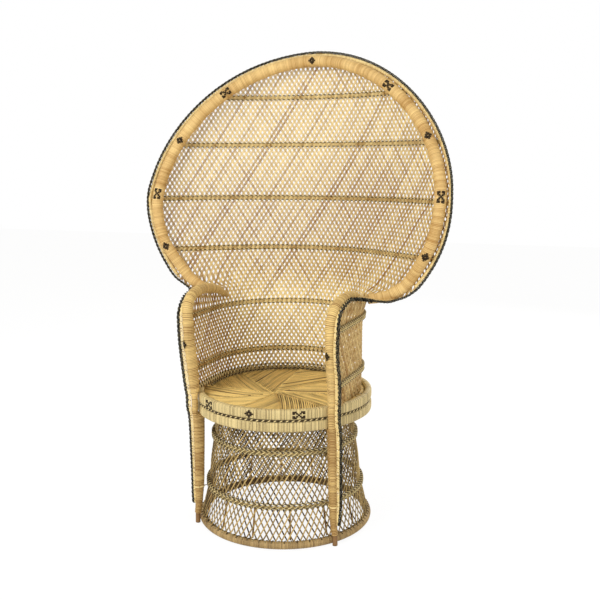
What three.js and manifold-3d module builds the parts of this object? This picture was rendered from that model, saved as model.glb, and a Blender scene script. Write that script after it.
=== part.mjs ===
// A rattan peacock chair: a round woven fan back on a narrow wrap-round wall, a round seat,
// a waisted woven skirt, and two wrapped canes that are front legs and arms in one.
// Millimetres, +Z up, the floor at z = 0, the sitter faces -Y. The model is drawn round the
// upright axis through the middle of the seat and moved at the end, so that its origin is
// the middle of its footprint box.

import * as THREE from 'three';
import { LoftGeometry } from 'three/addons/geometries/LoftGeometry.js';
import { mergeVertices } from 'three/addons/utils/BufferGeometryUtils.js';
import Module from 'manifold-3d';

// Clearance between pieces that touch
const gap = 0.3;
const doubleGap = 2 * gap;
const boreGap = 3 * gap;
const edgeGap = 4 * gap;

// Fan back
const chairHeight = 1450;
const fanHalfWidth = 495;
const fanWaistRise = 263;
const fanLowerDrop = 426;
const fanPlanRadius = 680;
const fanSetback = 278;
const fanEdgeSetback = 46;
const fanHoopRadius = 18;
const fanHoopCaneRadius = 9;
const fanStripWidth = 6;
const fanHoopStandoff = 1.2;

// Wall that wraps round the sitter
const wallInset = 30;
const wallFlare = 4;
const wallFlareHeight = 60;
const wallTopDrop = 22;
const neckDrop = 70;
const neckFlare = 13;
const notchDip = 32;
const lipShift = 14;
const sheetThickness = 6;

// Notch where the fan's edge meets the arm
const notchSpread = 21;
const notchForward = 92;
const notchRise = 3;

// Seat
const rimRadius = 270;
const rimTopHeight = 417;
const rimBandHeight = 30;
const rimBandDepth = 22;
const rimGroove = 6;
const rimCordRadius = 3.6;
const seatDrop = 8;
const seatThickness = 9;
const innerHoopRadius = 12;
const braceRadius = 8;
const braceSpacing = 160;

// Skirt and base
const baseSpread = 0.5;
const baseHoopRadius = 12;
const baseFlat = 1;
const skirtThickness = 5;
const skirtWaistInset = 56;
const skirtWaistHeight = 300;
const skirtBandUpperHeight = 273;
const skirtBandLowerHeight = 120;
const stakeRadius = 3.5;
const stakeCount = 14;
const stakeStandoff = 2.4;

// Lashed bands
const bandHeight = 17;
const bandDepth = 9;
const wallBandStandoff = 1;
const fanBandStandoff = 1.25;
const bandEndInset = 14;

// Arms and front legs
const legStandoff = 11.5;
const legCaneRadius = 7.5;
const armWrapRadius = 16;
const legAngle = THREE.MathUtils.degToRad(50.3);
const stripTilt = THREE.MathUtils.degToRad(16);
const armTopHeight = 719;
const stripWidth = 9;
const stripThickness = 4;

// Cords
const braidRadius = 3.5;
const tieRadius = 1.5;
const knotRadius = 6;
const backBraidForward = 50;

// Facets
const roundSides = 8;
const cordSides = 6;
const hoopSteps = 40;
const sheetColumns = 12;
const levelRowCount = 5;
const fanRowCount = 17;
const fanHoopSteps = 48;
const stripSteps = 26;
const armSearchStep = 0.02;
const levelPlaceCount = 17;
const coreEndIndex = 28;
const wallEndIndex = 25.4;
const skirtSteps = 28;
const knotSteps = 7;
const openRowIndexes = [1, 3, 5, 6, 7, 12, 13, 17, 19, 21, 23, 25, 27, 29];
const skirtOpenRowIndexes = [1, 2, 4, 5, 7, 8];
const skirtOpenCount = 10;

// Shares of lengths and places
const edgeRiseShare = 0.55;
const armRimShare = 0.58;
const backBandShares = [0.2185, 0.755];
const fanBandShares = [0.3826, 0.0023, -0.3736, -0.7035];
const fanLevelShare = 0.0328;
const fanUprightShare = 0.6882;
const fanEdgeRoundShare = 0.8;
const fanRoundness = 1.9;
const fanLowAngle = THREE.MathUtils.degToRad(-36);
const fanTopAngle = THREE.MathUtils.degToRad(87);
const wallRowShares = [0, 0.13, 0.24, 0.35, 0.46, 0.55, 0.63, 0.71, 0.78, 0.85, 0.92, 1];
const lipShares = [
  [0, 1, 1, 0.956], [0.206, 0.49, 0.978, 0.97], [0.468, -0.09, 0.964, 0.984],
  [0.599, -0.4, 0.969, 0.998], [0.748, -0.56, 0.98, 1.02],
];
const hoopEndShares = [
  [0, 0.24, 0.968], [0.187, 0.42, 0.972], [0.387, 0.53, 0.982],
  [0.552, 0.57, 0.999], [0.73, 0.63, 1.0235],
];
const openingShare = 0.115;
const skirtRowShares = [0.11, 0.2, 0.29, 0.35, 0.52, 0.69, 0.76, 0.845, 0.91, 0.95];
const coreEndShare = 0.9;
const stripPlaceShares = [
  [0.065, 0.2, 0.6], [0.094, 0.62, 0], [0.13, 0.84, -0.6], [0.17, 0.9, -0.3], [0.22, 0.95, 0],
  [0.335, 1, 0.5], [0.44, 1.05, 0.75], [0.5, 1.1, 0.8], [0.53, 1.05, 0.9], [0.58, 0.95, 1], [0.62, 0.95, 1],
  [0.65, 0.85, 1], [0.68, 0.5, 0.8], [0.71, 0.25, 0.5], [0.74, 0.2, 0.3], [0.765, 0.2, 0.1], [0.79, 0.2, 0],
];
const hoopSkipRows = 2;
const hoopTaperShare = 0.05;
const hoopEndRadiusShare = 0.85;
const skirtShares = [[1.168, 0.2], [1.103, 0.4], [1.068, 0.667], [1, 1], [1.005, 1.15]];

// Sizes that follow from the ones above
const sheetHalf = sheetThickness / 2;
const wallRadius = rimRadius - wallInset;
const legRadius = rimRadius + legStandoff;
const baseRadius = rimRadius + baseSpread;
const skirtWaistRadius = rimRadius - skirtWaistInset;
const notchOut = wallRadius + notchSpread;
const fanLowOut = fanHalfWidth * Math.cos(fanLowAngle);
const notchHeight = armTopHeight + notchRise;
const wallTopHeight = notchHeight - wallTopDrop;
const neckHeight = wallTopHeight - neckDrop;
const fanWaistHeight = notchHeight + fanWaistRise;
const edgeTopHeight = chairHeight - braidRadius * 2 - gap;
const fanUpperRise = edgeTopHeight - fanWaistHeight;
const fanLevelHeight = fanWaistHeight + fanLevelShare * fanUpperRise;
const fanUprightHeight = fanWaistHeight + fanUprightShare * fanUpperRise;
const backBandHeights = backBandShares.map((share) => rimTopHeight + share * (armTopHeight - rimTopHeight));
const fanBandHeights = fanBandShares.map((share) => (
  fanWaistHeight - share * (share > 0 ? fanLowerDrop : fanUpperRise)
));
const seatTopHeight = rimTopHeight - seatDrop;
const seatBottomHeight = seatTopHeight - seatThickness;
const rimInnerRadius = rimRadius - rimBandDepth;
const rimLowerTop = rimTopHeight - rimBandHeight - rimGroove;
const rimBottomHeight = rimLowerTop - rimBandHeight;
const innerHoopCentre = rimInnerRadius - gap - innerHoopRadius;
const innerHoopHeight = seatBottomHeight - gap - innerHoopRadius;
const skirtTopHeight = innerHoopHeight - innerHoopRadius - gap;
const baseHoopCentre = baseRadius - baseHoopRadius;
const baseHoopTop = 2 * baseHoopRadius - baseFlat;

const upright = new THREE.Vector3(0, 0, 1);
const rightward = new THREE.Vector3(1, 0, 0);
const forward = new THREE.Vector3(0, -1, 0);

const wasm = await Module();
wasm.setup();

const colours = {
  peel: [0xd4b47a, 0.45],
  paleWeave: [0xd8c595, 0.6],
  agedWeave: [0x9c8a6c, 0.7],
  legPeel: [0xab8b53, 0.45],
  core: [0x8a6238, 0.65],
  seat: [0xd3b26b, 0.5],
  dark: [0x23241f, 0.55],
  mixed: [0x6f6248, 0.6],
};

function material(name) {
  const [color, roughness] = colours[name];
  return new THREE.MeshStandardMaterial({ color, roughness, metalness: 0, side: THREE.DoubleSide });
}

const chair = new THREE.Group();

function add(name, geometry, finish) {
  const mesh = new THREE.Mesh(geometry, material(finish));
  mesh.name = name;
  chair.add(mesh);
  return mesh;
}

// Small helpers for shapes

function smooth(value) {
  return THREE.MathUtils.smoothstep(value, 0, 1);
}

function mixed(a, b, share) {
  return THREE.MathUtils.lerp(a, b, share);
}

function bare(geometry) {
  const copy = new THREE.BufferGeometry().copy(geometry);
  copy.deleteAttribute('normal');
  copy.deleteAttribute('uv');
  return mergeVertices(copy, 1e-3);
}

function solid(geometry) {
  const merged = bare(geometry);
  const mesh = new wasm.Mesh({
    numProp: 3,
    vertProperties: merged.attributes.position.array,
    triVerts: new Uint32Array(merged.index.array),
  });
  return new wasm.Manifold(mesh);
}

function fromSolid(body) {
  const { vertProperties, triVerts } = body.getMesh();
  const geometry = new THREE.BufferGeometry();
  geometry.setAttribute('position', new THREE.BufferAttribute(vertProperties, 3));
  geometry.setIndex(new THREE.BufferAttribute(triVerts, 1));
  geometry.computeVertexNormals();
  return geometry;
}

// The largest body that is left after cutters are taken away, so that no chip stays behind
function cut(geometry, ...cutters) {
  let body = solid(geometry);
  for (const cutter of cutters) {
    body = body.subtract(solid(cutter));
  }
  const pieces = body.decompose();
  pieces.sort((a, b) => b.volume() - a.volume());
  return fromSolid(pieces[0]);
}

// A loft through rings of points, turned so that its faces point outwards
function loft(rings, capped) {
  const caps = { capStart: capped, capEnd: capped };
  const geometry = new LoftGeometry(rings, caps);
  return volume(geometry) < 0 ? new LoftGeometry(rings.map((ring) => [...ring].reverse()), caps) : geometry;
}

function volume(geometry) {
  const { position } = geometry.attributes;
  const { index } = geometry;
  const corner = (i) => new THREE.Vector3().fromBufferAttribute(position, index.getX(i));
  let sum = 0;
  for (let i = 0; i < index.count; i += 3) {
    sum += corner(i).dot(corner(i + 1).cross(corner(i + 2)));
  }
  return sum;
}

function circle(radius, sides) {
  return Array.from({ length: sides }, (_, i) => {
    const angle = (2 * Math.PI * (i + 0.5)) / sides;
    return new THREE.Vector2(radius * Math.cos(angle), radius * Math.sin(angle));
  });
}

// A soft-cornered oblong section, as a lashed cane band has
function oblong(width, height) {
  const bevel = Math.min(width, height) / 3;
  const x = width / 2;
  const y = height / 2;
  return [
    [x, y - bevel], [x - bevel, y], [bevel - x, y], [-x, y - bevel],
    [-x, bevel - y], [bevel - x, -y], [x - bevel, -y], [x, bevel - y],
  ].map(([u, v]) => new THREE.Vector2(u, v));
}

// Rings of a section carried along a path; across is a rough direction for the section's x axis
function sweepRings(points, tangents, section, across) {
  return points.map((point, i) => {
    const side = across(i, point, tangents[i]).clone();
    side.addScaledVector(tangents[i], -side.dot(tangents[i])).normalize();
    const up = new THREE.Vector3().crossVectors(tangents[i], side);
    return section(i).map((p) => point.clone().addScaledVector(side, p.x).addScaledVector(up, p.y));
  });
}

function pathTangents(points) {
  return points.map((_, i) => {
    const before = points[Math.max(i - 1, 0)];
    const after = points[Math.min(i + 1, points.length - 1)];
    return after.clone().sub(before).normalize();
  });
}

function sweep(points, section, across) {
  return loft(sweepRings(points, pathTangents(points), () => section, across), true);
}

function mirrorX(point) {
  return new THREE.Vector3(-point.x, point.y, point.z);
}

function mirrored(geometry) {
  const copy = bare(geometry).scale(-1, 1, 1);
  const { index } = copy;
  for (let i = 0; i < index.count; i += 3) {
    const first = index.getX(i);
    index.setX(i, index.getX(i + 2));
    index.setX(i + 2, first);
  }
  copy.computeVertexNormals();
  return copy;
}

// A ring about the upright axis, from a closed outline of (radius, height) points
function ring(outline, segments = hoopSteps) {
  const closed = [...outline, outline[0]];
  return new THREE.LatheGeometry(closed.map(([r, z]) => new THREE.Vector2(r, z)), segments).rotateX(Math.PI / 2);
}

// The outline's flats lie at the radius, so that what rests on the hoop meets it
function roundOutline(centre, height, radius, sides = roundSides) {
  return circle(radius / Math.cos(Math.PI / sides), sides).map((p) => [centre + p.x, height + p.y]);
}

// The shape of the back sheet.
// Every row of it is an arc about the sitter's back, run out straight to the row's edge.

function setback(height) {
  const left = (fanUprightHeight - height) / (fanUprightHeight - wallTopHeight);
  return mixed(fanSetback, wallRadius, THREE.MathUtils.clamp(left, 0, 1) ** 2);
}

function wallArc(height) {
  const foot = wallFlare * (1 - smooth((height - seatTopHeight) / wallFlareHeight));
  const neck = neckFlare * smooth((height - neckHeight) / (wallTopHeight - neckHeight));
  return wallRadius + foot + neck;
}

function arcRadius(height) {
  const share = (height - wallTopHeight) / (fanLevelHeight - wallTopHeight);
  return mixed(wallArc(height), fanPlanRadius, THREE.MathUtils.clamp(share, 0, 1));
}

// The plan of a row: a point for each signed distance from the middle of the back
function rowPlan(edge, middleHeight) {
  const back = setback(middleHeight) + wallArc(Math.min(middleHeight, wallTopHeight)) - wallRadius;
  const sag = back - edge.y;
  const through = (edge.x ** 2 + sag ** 2) / (2 * sag);
  const radius = Math.min(arcRadius(middleHeight), sag > edge.x ? edge.x : through);
  const centre = back - radius;
  const toEdge = Math.hypot(edge.x, edge.y - centre);
  const straight = Math.sqrt(Math.max(toEdge ** 2 - radius ** 2, 0));
  const turn = Math.atan2(edge.x, edge.y - centre) - Math.atan2(straight, radius);
  const bend = radius * turn;
  const reach = bend + straight;
  const at = (distance) => {
    const side = Math.sign(distance) || 1;
    const along = Math.abs(distance);
    const angle = Math.min(along, bend) / radius;
    const rest = Math.max(along - bend, 0);
    const x = radius * Math.sin(angle) + rest * Math.cos(angle);
    const y = centre + radius * Math.cos(angle) - rest * Math.sin(angle);
    const rise = smooth((along / reach - edgeRiseShare) / (1 - edgeRiseShare));
    return new THREE.Vector3(side * x, y, mixed(middleHeight, edge.z, rise));
  };
  const facing = (distance) => {
    const angle = Math.sign(distance) * Math.min(Math.abs(distance), bend) / radius;
    return new THREE.Vector3(Math.sin(angle), Math.cos(angle), 0);
  };
  return { reach, at, facing, outward: facing(reach) };
}

// Right arm: its places from the foot to the tapered end inside the wall.
// Radius, angle and height of its main cane, then how far the wrapping reaches outward, inward
// and sideways from it. It reaches inward round a second cane below and above the seat rim.
const armPlaceShares = [
  [0.9893, 1.0656, 0, 0.625, 0.625, 0.625],
  [0.9869, 1.0636, 0.0445, 0.625, 0.625, 0.625],
  [0.9805, 1.0537, 0.0834, 0.625, 0.7812, 0.625],
  [0.9794, 1.0477, 0.1252, 0.625, 0.9375, 0.6375],
  [0.9801, 1.0457, 0.1808, 0.625, 1.1875, 0.6562],
  [0.9798, 1.0398, 0.2782, 0.625, 1.3125, 0.7063],
  [0.9815, 1.0378, 0.3755, 0.625, 1.4688, 0.7625],
  [0.984, 1.0338, 0.459, 0.625, 1.5625, 0.7812],
  [0.9886, 1.0258, 0.4833, 0.625, 1.5938, 0.7688],
  [0.994, 1.0219, 0.4873, 0.625, 0.7188, 0.75],
  [1, 1.0139, 0.4951, 0.625, 0.625, 0.7375],
  [1.0018, 1.004, 0.5341, 0.625, 0.625, 0.7188],
  [1.0053, 1, 0.5688, 0.625, 0.625, 0.7],
  [1.0089, 1, 0.5805, 0.6375, 0.8125, 0.6875],
  [1.0099, 1, 0.5841, 0.6438, 1.0312, 0.6813],
  [1.0195, 0.996, 0.612, 0.6562, 1.2188, 0.675],
  [1.0355, 0.9841, 0.6676, 0.6562, 1.4062, 0.675],
  [1.0533, 0.9662, 0.7232, 0.675, 1.4187, 0.675],
  [1.071, 0.9423, 0.7789, 0.7, 1.425, 0.7],
  [1.0806, 0.9304, 0.8345, 0.75, 1.3875, 0.75],
  [1.0782, 0.9344, 0.8832, 0.8313, 1.25, 0.8375],
  [1.0764, 0.9404, 0.9179, 0.9125, 1.0875, 0.9125],
  [1.0664, 0.9612, 0.9458, 0.95, 1, 0.9563],
  [1.0373, 1.0119, 0.9694, 0.975, 0.9875, 0.9812],
  [0.9986, 1.0855, 0.9861, 1, 1, 1],
  [0.9346, 1.2247, 0.9986, 1, 1, 1],
  [0.8938, 1.3479, 1.0007, 1, 1, 1],
  [0.8643, 1.4573, 1, 1, 1, 1],
  [0.8238, 1.6909, 0.9903, 0.9375, 0.9375, 0.9375],
  [0.8135, 1.7893, 0.9819, 0.85, 0.85, 0.85],
  [0.8096, 1.8887, 0.9708, 0.7375, 0.7375, 0.7375],
  [0.8066, 1.9901, 0.9569, 0.5813, 0.5813, 0.5813],
  [0.805, 2.0835, 0.9402, 0.375, 0.375, 0.375],
];
// The arm's heights keep their places against the seat rim and against the arm's top
function armHeight(share) {
  if (share < armRimShare) return rimTopHeight * share / armRimShare;
  return mixed(rimTopHeight, armTopHeight, (share - armRimShare) / (1 - armRimShare));
}

const armPlaces = armPlaceShares.map(([radius, angle, height, outward, inward, side]) => ({
  point: new THREE.Vector3(0, -radius * legRadius, armHeight(height)).applyAxisAngle(upright, angle * legAngle),
  outward: outward * armWrapRadius,
  inward: inward * armWrapRadius,
  side: side * armWrapRadius,
}));
const armPath = new THREE.CatmullRomCurve3(armPlaces.map(({ point }) => point), false, 'centripetal');
const armEnd = armPlaces.length - 1;

// The arm at a place between the table's rows
function armAt(place) {
  const share = THREE.MathUtils.clamp(place / armEnd, 0, 1);
  const low = Math.min(Math.floor(place), armEnd - 1);
  const blend = (name) => mixed(armPlaces[low][name], armPlaces[low + 1][name], place - low);
  const point = armPath.getPoint(share);
  const tangent = place < levelPlaceCount ? upright.clone() : armPath.getTangent(share);
  const radial = point.clone().setZ(0).normalize();
  const section = (spare = 0) => armSection(blend('outward') + spare, blend('inward') + spare, blend('side') + spare);
  return { point, tangent, radial, section, blend };
}

function armSection(outward, inward, side) {
  return circle(1, roundSides).map((p) => new THREE.Vector2(p.x * (p.x > 0 ? outward : inward), p.y * side));
}

// The place at which the arm first reaches a height
function armPlaceAt(height) {
  let place = 0;
  while (armPath.getPoint(place / armEnd).z < height && place < armEnd) place += armSearchStep;
  return place;
}

function armRing(place, section) {
  const { point, tangent, radial } = armAt(place);
  return sweepRings([point], [tangent], () => section, () => radial)[0];
}

// Rows of the right half of the back sheet, from the seat to the top of the fan

function wallRows() {
  const start = armPlaceAt(rimTopHeight);
  return wallRowShares.map((share) => {
    const place = mixed(start, wallEndIndex, share);
    const { tangent, section } = armAt(place);
    const edge = armAt(place).point;
    edge.x = Math.max(...armRing(place, section(edgeGap + sheetHalf)).map((p) => p.x));
    edge.addScaledVector(new THREE.Vector3(0, tangent.z, -tangent.y).normalize(), stripThickness);
    if (share === 0) edge.z = rimTopHeight + gap;
    const dip = notchDip * smooth((edge.z - neckHeight) / (notchHeight - neckHeight));
    return { edge, middle: edge.z - dip };
  });
}

// The rolled lip between the notch and the fan: how far its edge has gone out from the notch
// to the fan's foot, its forward and upward places and the height of the row's middle, as
// shares of the notch's own place
function lipRows() {
  return lipShares.map(([out, forward, up, middle]) => ({
    edge: new THREE.Vector3(mixed(notchOut, fanLowOut, out), -forward * notchForward, up * notchHeight),
    middle: middle * notchHeight,
  }));
}

// How far the fan's edge has gone back, from its widest point to its top
function fanEdgeLean(angle) {
  const share = Math.max(angle, 0) / (Math.PI / 2);
  const past = Math.max(share - fanEdgeRoundShare, 0);
  const round = 1 - fanEdgeRoundShare;
  return (share - past ** 2 / (2 * round)) / (1 - round / 2);
}

function fanEdgePoint(angle) {
  const bulge = 2 / fanRoundness;
  const x = fanHalfWidth * Math.cos(angle) ** (angle < 0 ? 1 : bulge);
  const rise = angle < 0 ? fanLowerDrop * Math.sin(angle) : fanUpperRise * Math.sin(angle) ** bulge;
  return new THREE.Vector3(x, mixed(fanEdgeSetback, fanSetback, fanEdgeLean(angle)), fanWaistHeight + rise);
}

function fanRows() {
  return Array.from({ length: fanRowCount }, (_, i) => {
    const angle = mixed(fanLowAngle, fanTopAngle, i / (fanRowCount - 1));
    const edge = fanEdgePoint(angle);
    return { edge, middle: edge.z + lipShift * (1 - smooth((angle - fanLowAngle) / -fanLowAngle)) };
  });
}

const rows = [...wallRows(), ...lipRows(), ...fanRows()].map((row) => (
  { ...row, plan: rowPlan(row.edge, row.middle) }
));
const edgeStart = rows.length - fanRowCount - lipShares.length;

// The openwork: columns of openings and of bars take turns from an opening in the middle
function columnShare(column) {
  const steps = Math.abs(column - sheetColumns);
  const barShare = (1 - openingShare * (sheetColumns - 1) / 2) / (sheetColumns / 2);
  const openings = steps === 0 ? 0 : Math.floor((steps - 1) / 2) + 1 / 2;
  const share = openings * openingShare + Math.floor(steps / 2) * barShare;
  return Math.sign(column - sheetColumns) * share;
}

// Points of the sheet's middle surface, one row of places for each row of the sheet
function sheetGrid() {
  return rows.map(({ plan }, level) => Array.from({ length: 2 * sheetColumns + 1 }, (_, i) => {
    const point = plan.at(columnShare(i) * plan.reach);
    const insideRim = level === 0 && Math.hypot(point.x, point.y) < rimInnerRadius - sheetHalf - gap;
    if (insideRim && point.y > 0) point.z = seatTopHeight + gap;
    return point;
  }));
}

const grid = sheetGrid();

function gridNormal(i, j) {
  if (i === 0 || i > grid.length - levelRowCount) {
    const { plan } = rows[i];
    return plan.facing(plan.reach * columnShare(j)).negate();
  }
  const up = grid[Math.min(i + 1, grid.length - 1)][j].clone().sub(grid[Math.max(i - 1, 0)][j]);
  const row = grid[i];
  const along = row[Math.min(j + 1, row.length - 1)].clone().sub(row[Math.max(j - 1, 0)]);
  return along.cross(up).normalize();
}

// A sheet of plates between two faces, each a table of places. An open cell is left out, and a
// sheet that goes all round joins its last column to its first.
function plates(front, back, isOpen, goesRound) {
  const columnCount = front[0].length;
  const cellCount = goesRound ? columnCount : columnCount - 1;
  const corner = (face, i, j) => (face * front.length + i) * columnCount + (j % columnCount);
  const isInside = (i, j) => i >= 0 && i < front.length - 1 && (goesRound || (j >= 0 && j < cellCount));
  const isKept = (i, j) => isInside(i, j) && !isOpen(i, (j + cellCount) % cellCount);
  const triangles = [];
  const quad = (a, b, c, d) => triangles.push(a, b, c, a, c, d);
  const wall = ([i, j], [k, l]) => quad(corner(0, k, l), corner(0, i, j), corner(1, i, j), corner(1, k, l));
  const addCell = (i, j) => {
    const corners = [[i, j], [i, j + 1], [i + 1, j + 1], [i + 1, j]];
    const beside = [[i - 1, j], [i, j + 1], [i + 1, j], [i, j - 1]];
    quad(...corners.map(([k, l]) => corner(0, k, l)));
    quad(...[0, 3, 2, 1].map((n) => corner(1, ...corners[n])));
    beside.forEach(([k, l], n) => {
      if (!isKept(k, l)) wall(corners[n], corners[(n + 1) % corners.length]);
    });
  };
  for (let i = 0; i < front.length - 1; i += 1) {
    for (let j = 0; j < cellCount; j += 1) if (isKept(i, j)) addCell(i, j);
  }
  return fromTriangles([...front, ...back].flat(), triangles);
}

function fromTriangles(points, triangles) {
  const geometry = new THREE.BufferGeometry().setFromPoints(points);
  geometry.setIndex(triangles);
  if (volume(geometry) < 0) geometry.setIndex([...triangles].reverse());
  return bare(geometry);
}

// The woven sheet of any thickness, closed or with the coarse openings that stand in for its
// open weave
function backSheet(thickness, isOpen) {
  const side = (offset) => grid.map((row, i) => row.map((p, j) => p.clone().addScaledVector(gridNormal(i, j), offset)));
  return plates(side(thickness / 2), side(-thickness / 2), isOpen, false);
}

function isOpenCell(i, j) {
  const steps = j < sheetColumns ? sheetColumns - 1 - j : j - sheetColumns;
  return openRowIndexes.includes(i) && steps % 2 === 0;
}

// The fan's edge from the notch to the top, with the direction that leads out of the sheet
function fanEdge() {
  const last = 2 * sheetColumns;
  const line = rows.slice(edgeStart);
  const points = line.map((row) => row.edge);
  const tangents = pathTangents(points);
  return line.map(({ edge, plan }, i) => {
    const inward = i < lipShares.length
      ? grid[edgeStart + i][last - 1].clone().sub(edge)
      : plan.outward.clone().cross(tangents[i]);
    inward.addScaledVector(tangents[i], -inward.dot(tangents[i])).normalize();
    if (inward.dot(edge.clone().setZ(edge.z - fanWaistHeight)) > 0 && i >= lipShares.length) inward.negate();
    return { edge, inward, front: plan.outward.clone().negate() };
  });
}

// A line over the whole fan, from its right half
function overFan(rightPoints) {
  const left = rightPoints.map(mirrorX);
  return [...left, ...[...rightPoints].reverse()];
}

function closedPath(points, steps) {
  return new THREE.CatmullRomCurve3(points, false, 'centripetal').getSpacedPoints(steps);
}

// Fan hoop: it follows the edge in front of the sheet, then turns in over the wall
function fanHoopPath() {
  const offset = sheetHalf + gap + fanHoopRadius + fanHoopStandoff;
  const along = fanEdge().slice(lipShares.length + hoopSkipRows).map(({ edge, inward, front }) => (
    edge.clone().addScaledVector(inward, fanStripWidth + fanHoopRadius).addScaledVector(front, offset)
  ));
  const end = hoopEndShares.map(([out, back, up]) => (
    new THREE.Vector3(mixed(notchOut, fanLowOut, out), back * notchForward, up * notchHeight)
  ));
  const right = [...end, ...along];
  return closedPath(overFan(right), fanHoopSteps);
}

function taperedTube(points, radiusAt, sides) {
  const tangents = pathTangents(points);
  const section = (i) => circle(radiusAt(i / (points.length - 1)), sides);
  const across = (i, point) => new THREE.Vector3(-point.x, 0, fanWaistHeight - point.z);
  return loft(sweepRings(points, tangents, section, across), true);
}

function hoopRadiusAt(share) {
  const toEnd = Math.min(share, 1 - share) / hoopTaperShare;
  return fanHoopRadius * mixed(hoopEndRadiusShare, 1, smooth(toEnd));
}

// A sleeve with a bore, open at both ends
function sleeve(points, radiusAt, bore) {
  const tangents = pathTangents(points);
  const across = (i, point) => new THREE.Vector3(-point.x, 0, fanWaistHeight - point.z);
  const outer = sweepRings(points, tangents, (i) => circle(radiusAt(i / (points.length - 1)), roundSides), across);
  const inner = sweepRings(points, tangents, () => circle(bore, roundSides), across);
  return loft([...outer, ...inner.reverse(), outer[0]], false);
}

// The arm's wrapping: a bored sleeve that closes past the end of the core
function armWrap() {
  const places = armPlaces.map((_, i) => i).slice(1);
  const outer = places.map((i) => armRing(i, armAt(i).section()));
  const inner = places.slice(0, coreEndIndex).map((i) => armRing(i, circle(legCaneRadius + boreGap, roundSides)));
  const tip = outer[0].map(() => armPlaces[armEnd].point.clone());
  const bottom = inner[0].map(() => armPlaces[coreEndIndex].point.clone());
  return loft([tip, ...outer.reverse(), ...inner, bottom], false);
}

function armCane() {
  const rings = armPlaces.slice(0, coreEndIndex).map((_, i) => armRing(i, circle(legCaneRadius, roundSides)));
  rings[0].forEach((p) => p.setZ(0));
  const next = armPlaces[coreEndIndex].point.clone().sub(armPlaces[coreEndIndex - 1].point);
  rings.push(rings[coreEndIndex - 1].map((p) => p.clone().addScaledVector(next, coreEndShare)));
  return loft(rings, true);
}

// The strip and the braid beside the arm: the direction out of the arm, and the strip's width
function besideArm(step) {
  const [place, width, tilt] = alongTable(stripPlaceShares, step / stripSteps);
  const { point, tangent, section } = armAt(place * armEnd);
  const outer = new THREE.Vector3(0, -tangent.z, tangent.y).normalize();
  const angle = tilt * stripTilt;
  const direction = rightward.clone().multiplyScalar(Math.cos(angle)).addScaledVector(outer, Math.sin(angle));
  const reach = Math.max(...armRing(place * armEnd, section()).map((p) => p.clone().sub(point).dot(direction)));
  return { point, tangent, direction, reach: reach + doubleGap, width: width * stripWidth };
}

function alongTable(table, share) {
  const at = share * (table.length - 1);
  const low = Math.min(Math.floor(at), table.length - 2);
  return table[low].map((value, i) => mixed(value, table[low + 1][i], at - low));
}

function stripPlaces() {
  return Array.from({ length: stripSteps + 1 }, (_, i) => besideArm(i));
}

function armStrip() {
  const places = stripPlaces();
  const points = places.map(({ point, direction, reach, width }) => (
    point.clone().addScaledVector(direction, reach + width / 2)
  ));
  const section = (i) => {
    const x = places[i].width / 2;
    const y = stripThickness / 2;
    return [[x, y], [-x, y], [-x, -y], [x, -y]].map(([u, v]) => new THREE.Vector2(u, v));
  };
  const tangents = places.map(({ tangent }) => tangent);
  return loft(sweepRings(points, tangents, section, (i) => places[i].direction), true);
}

function armBraidPath() {
  return stripPlaces().map(({ point, direction, reach, width }) => (
    point.addScaledVector(direction, reach + width + gap + braidRadius)
  ));
}

// A band lashed behind the sheet at one height, along the sheet's own columns
function bandPlace(column, height) {
  const above = grid.findIndex((row, i) => i > 0 && grid[i - 1][column].z <= height && row[column].z > height);
  const [low, high] = [grid[above - 1][column], grid[above][column]];
  const share = (height - low.z) / (high.z - low.z);
  const normal = gridNormal(above - 1, column).lerp(gridNormal(above, column), share).normalize();
  return { point: low.clone().lerp(high, share), outward: normal.negate() };
}

function trimmed(places, inset) {
  const [end, next] = [places[0], places[1]];
  const share = inset / end.point.distanceTo(next.point);
  const last = places.length - 1;
  const point = (a, b) => ({ point: a.point.clone().lerp(b.point, share), outward: a.outward });
  return [point(end, next), ...places.slice(1, last), point(places[last], places[last - 1])];
}

function backBand(height, standoff) {
  const columns = grid[0].map((_, column) => column);
  const places = trimmed(columns.map((column) => bandPlace(column, height)), bandEndInset);
  const offset = sheetHalf + standoff + bandDepth / 2;
  const line = places.map(({ point, outward }) => point.clone().addScaledVector(outward, offset));
  const section = () => oblong(bandDepth, bandHeight);
  return loft(sweepRings(line, pathTangents(line), section, (i) => places[i].outward), true);
}

// Skirt

const skirtLine = new THREE.SplineCurve([
  new THREE.Vector2(baseHoopCentre, baseHoopTop + gap),
  ...skirtShares.map(([out, up]) => new THREE.Vector2(out * skirtWaistRadius, up * skirtWaistHeight)),
  new THREE.Vector2(innerHoopCentre, skirtTopHeight),
]);

// Rows of the skirt from its foot to its top: radius and height
function skirtRows() {
  const line = skirtLine.getPoints(skirtSteps);
  const radiusAt = (height) => {
    const above = Math.max(line.findIndex((p) => p.y > height), 1);
    const [low, high] = [line[above - 1], line[above]];
    return mixed(low.x, high.x, (height - low.y) / (high.y - low.y));
  };
  const middle = skirtRowShares.map((share) => share * skirtTopHeight);
  return [line[0], ...middle.map((height) => new THREE.Vector2(radiusAt(height), height)), line[skirtSteps]];
}

const skirtLevels = skirtRows();

function skirtShell() {
  const face = (offset) => skirtLevels.map((p) => Array.from({ length: hoopSteps }, (_, i) => {
    const angle = 2 * Math.PI * i / hoopSteps;
    const radius = p.x + offset;
    return new THREE.Vector3(radius * Math.sin(angle), -radius * Math.cos(angle), p.y);
  }));
  const cells = hoopSteps / skirtOpenCount;
  const isOpen = (i, j) => skirtOpenRowIndexes.includes(i) && j % cells !== 0;
  return plates(face(skirtThickness / 2), face(-skirtThickness / 2), isOpen, true);
}

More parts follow.
